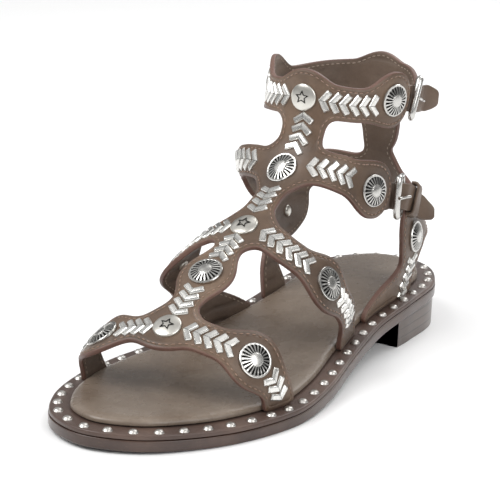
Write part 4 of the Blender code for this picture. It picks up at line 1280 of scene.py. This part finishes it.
def build_buckle_straps():
    for name, rows in BUCKLE_STRAPS.items():
        run = run_through(rows, 8)
        here, _, _, out = last_frame(run[:, 0], run[:, 1])
        middle = here + out * (run[:, 2] * LEATHER)[:, None]
        ahead = np.gradient(middle, axis=0)
        side = np.cross(out, ahead)
        side /= np.linalg.norm(side, axis=1)[:, None]
        up = np.cross(ahead, side)
        up /= np.linalg.norm(up, axis=1)[:, None]
        up *= np.sign((up * out).sum(1))[:, None]
        left = np.concatenate([[0], np.cumsum(np.linalg.norm(np.diff(middle, axis=0), axis=1))])
        left = left[-1] - left
        half = BUCKLE_STRAP_HALF * np.where(left < 0.007, 0.42 + 0.58 * np.sqrt(np.clip(left / 0.007, 0, 1)), 1)
        tail = strip("buckle_tail_" + name, middle, side, up, half, BUCKLE_STRAP_THICK)
        dress(tail, (buckle_leather,), ("buckle_strap_" + name,), 50)


def wire(name, path, radius, closed, nodes, finish, broad=1.0):
    """A round bar bent along a path, made from a curve and turned into a mesh."""
    curve = bpy.data.curves.new(name, "CURVE")
    curve.dimensions = "3D"
    curve.bevel_depth = radius
    curve.bevel_resolution = 3
    curve.use_fill_caps = not closed
    spline = curve.splines.new("POLY")
    spline.points.add(len(path) - 1)
    spline.points.foreach_set("co", np.hstack([path, np.ones((len(path), 1))]).ravel())
    spline.points.foreach_set("radius", np.broadcast_to(broad, len(path)).astype(float))
    spline.use_cyclic_u = closed
    piece = bpy.data.objects.new(name, curve)
    bpy.context.scene.collection.objects.link(piece)
    bpy.ops.object.select_all(action="DESELECT")
    piece.select_set(True)
    bpy.context.view_layer.objects.active = piece
    bpy.ops.object.convert(target="MESH")
    edit(piece, close_seams)
    return dress(piece, (finish,), nodes, 50)


def build_buckles():
    for name, (station, angle, slant) in BUCKLES.items():
        place = (station, angle)
        turn = np.linspace(0, 2 * math.pi, 64, endpoint=False)
        cosine, sine = np.cos(turn), np.sin(turn)
        across = np.sign(cosine) * np.abs(cosine) ** 0.42 * FRAME_LONG / 2
        up = np.sign(sine) * np.abs(sine) ** 0.42 * FRAME_HIGH / 2
        lift = BACK_BAR_LIFT + (FRONT_BAR_LIFT - BACK_BAR_LIFT) * (0.5 - across / FRAME_LONG)
        ring = over_leather([place], *turned(across, up, slant), lift)[0]
        broad = 1 + 0.7 * np.clip(-1.6 * cosine, 0, 1)
        wire("frame_" + name, ring, WIRE_RADIUS, True, ("buckle_frame_" + name,), aged_silver, broad)
        rest = FRONT_BAR_LIFT + WIRE_RADIUS + CLEAR + PRONG_RADIUS
        rows = ((0.80, PRONG_LIFT, 0), (0.10, rest - 0.1 * WIRE_RADIUS - CLEAR, 0), (-0.80, rest, 0), (-1.25, rest, 0))
        pin = run_through(rows, 8)
        path = over_leather([place], *turned(pin[:, 0] * FRAME_LONG / 2, 0, slant), pin[:, 1])[0]
        wire("pin_" + name, path, PRONG_RADIUS, False, ("buckle_prong_" + name,), aged_silver)


def build_keeper():
    """The leather loop over the lower buckle strap."""
    half = BUCKLE_STRAP_HALF + KEEPER_ROOM
    top = STRAP_LIFT * LEATHER + BUCKLE_STRAP_THICK + KEEPER_ROOM
    bend = 0.0011
    up, lift = [-half, -half], [CLEAR, top - bend]
    for t in (30, 60, 90):
        up.append(-half + bend * (1 - math.cos(math.radians(t))))
        lift.append(top - bend + bend * math.sin(math.radians(t)))
    up, lift = np.array(up + [0] + [-value for value in up[::-1]]), np.array(lift + [top] + lift[::-1])
    way = np.stack([np.gradient(up), np.gradient(lift)], axis=1)
    way /= np.linalg.norm(way, axis=1)[:, None]
    spots = []
    for across, grow in ((0, 0), (0.001, 0), (0, 0.001)):
        u, h = up - way[:, 1] * grow, lift + way[:, 0] * grow
        spots.append(over_leather([KEEPER[:2]], *turned(across, u, KEEPER[2]), h)[0])
    middle, aside, above = spots
    side, rise = (aside - middle) / 0.001, (above - middle) / 0.001
    side /= np.linalg.norm(side, axis=1)[:, None]
    rise /= np.linalg.norm(rise, axis=1)[:, None]
    loop = strip("keeper_loop", middle, side, rise, KEEPER_WIDE / 2, KEEPER_THICK)
    dress(loop, (buckle_leather,), ("keeper_lower",), 50)


def build_stage():
    bpy.ops.object.select_all(action="DESELECT")
    bpy.ops.mesh.primitive_grid_add(x_subdivisions=4, y_subdivisions=4, size=12)
    floor = bpy.context.object
    floor.name = "floor"
    material, tree, shader, where = shader_of("pale_floor", 0.7)
    tree.links.new(ramp(tree, noise(tree, where, 0.6, 2), ((0.3, (0.90, 0.90, 0.90)), (0.7, (0.93, 0.93, 0.93)))), shader.inputs["Base Color"])
    floor.data.materials.append(material)
    for name, place, size, power, target in (
        ("key", (-0.55, -0.75, 1.05), 0.9, 13.0, (0, 0, 0.05)),
        ("fill", (0.95, -0.35, 0.70), 0.7, 5.0, (0, 0, 0.05)),
        ("back", (0.10, 0.95, 0.95), 0.8, 7.0, (0, 0, 0.05)),
    ):
        light = bpy.data.lights.new(name, "AREA")
        light.energy = power
        light.size = size
        lamp = bpy.data.objects.new(name, light)
        lamp.location = place
        lamp.rotation_euler = (Vector(target) - Vector(place)).to_track_quat("-Z", "Y").to_euler()
        bpy.context.scene.collection.objects.link(lamp)
    world = bpy.data.worlds.new("studio")
    bpy.context.scene.world = world
    world.use_nodes = True
    tree = world.node_tree
    way = add(tree, "TexCoord").outputs["Generated"]
    height = add(tree, "SeparateXYZ", {0: way}).outputs["Z"]
    glow = ramp(tree, height, ((0.0, 0.30), (0.20, 0.40), (0.50, 0.90), (1.0, 1.15)))
    screens = ramp(tree, noise(tree, way, 2.6, 1), ((0.42, 0.30), (0.56, 1.20)))
    tree.links.new(mixed(tree, 0.85, glow, screens, "MULTIPLY"), tree.nodes["Background"].inputs["Color"])
    tree.nodes["Background"].inputs["Strength"].default_value = 0.85
    camera = bpy.data.cameras.new("camera")
    camera.lens = LENS
    view = bpy.data.objects.new("camera", camera)
    look = (Vector(AIM) - Vector(EYE)).to_track_quat("-Z", "Y")
    view.location = EYE
    view.rotation_mode = "QUATERNION"
    view.rotation_quaternion = look @ Quaternion((0, 0, 1), math.radians(ROLL))
    bpy.context.scene.collection.objects.link(view)
    bpy.context.scene.camera = view
    bpy.context.scene.view_settings.view_transform = "Standard"


build_upper()
build_sole()
build_studs()
build_rosettes()
build_stars()
build_rivets()
build_chevrons()
build_buckle_straps()
build_buckles()
build_keeper()
build_stage()
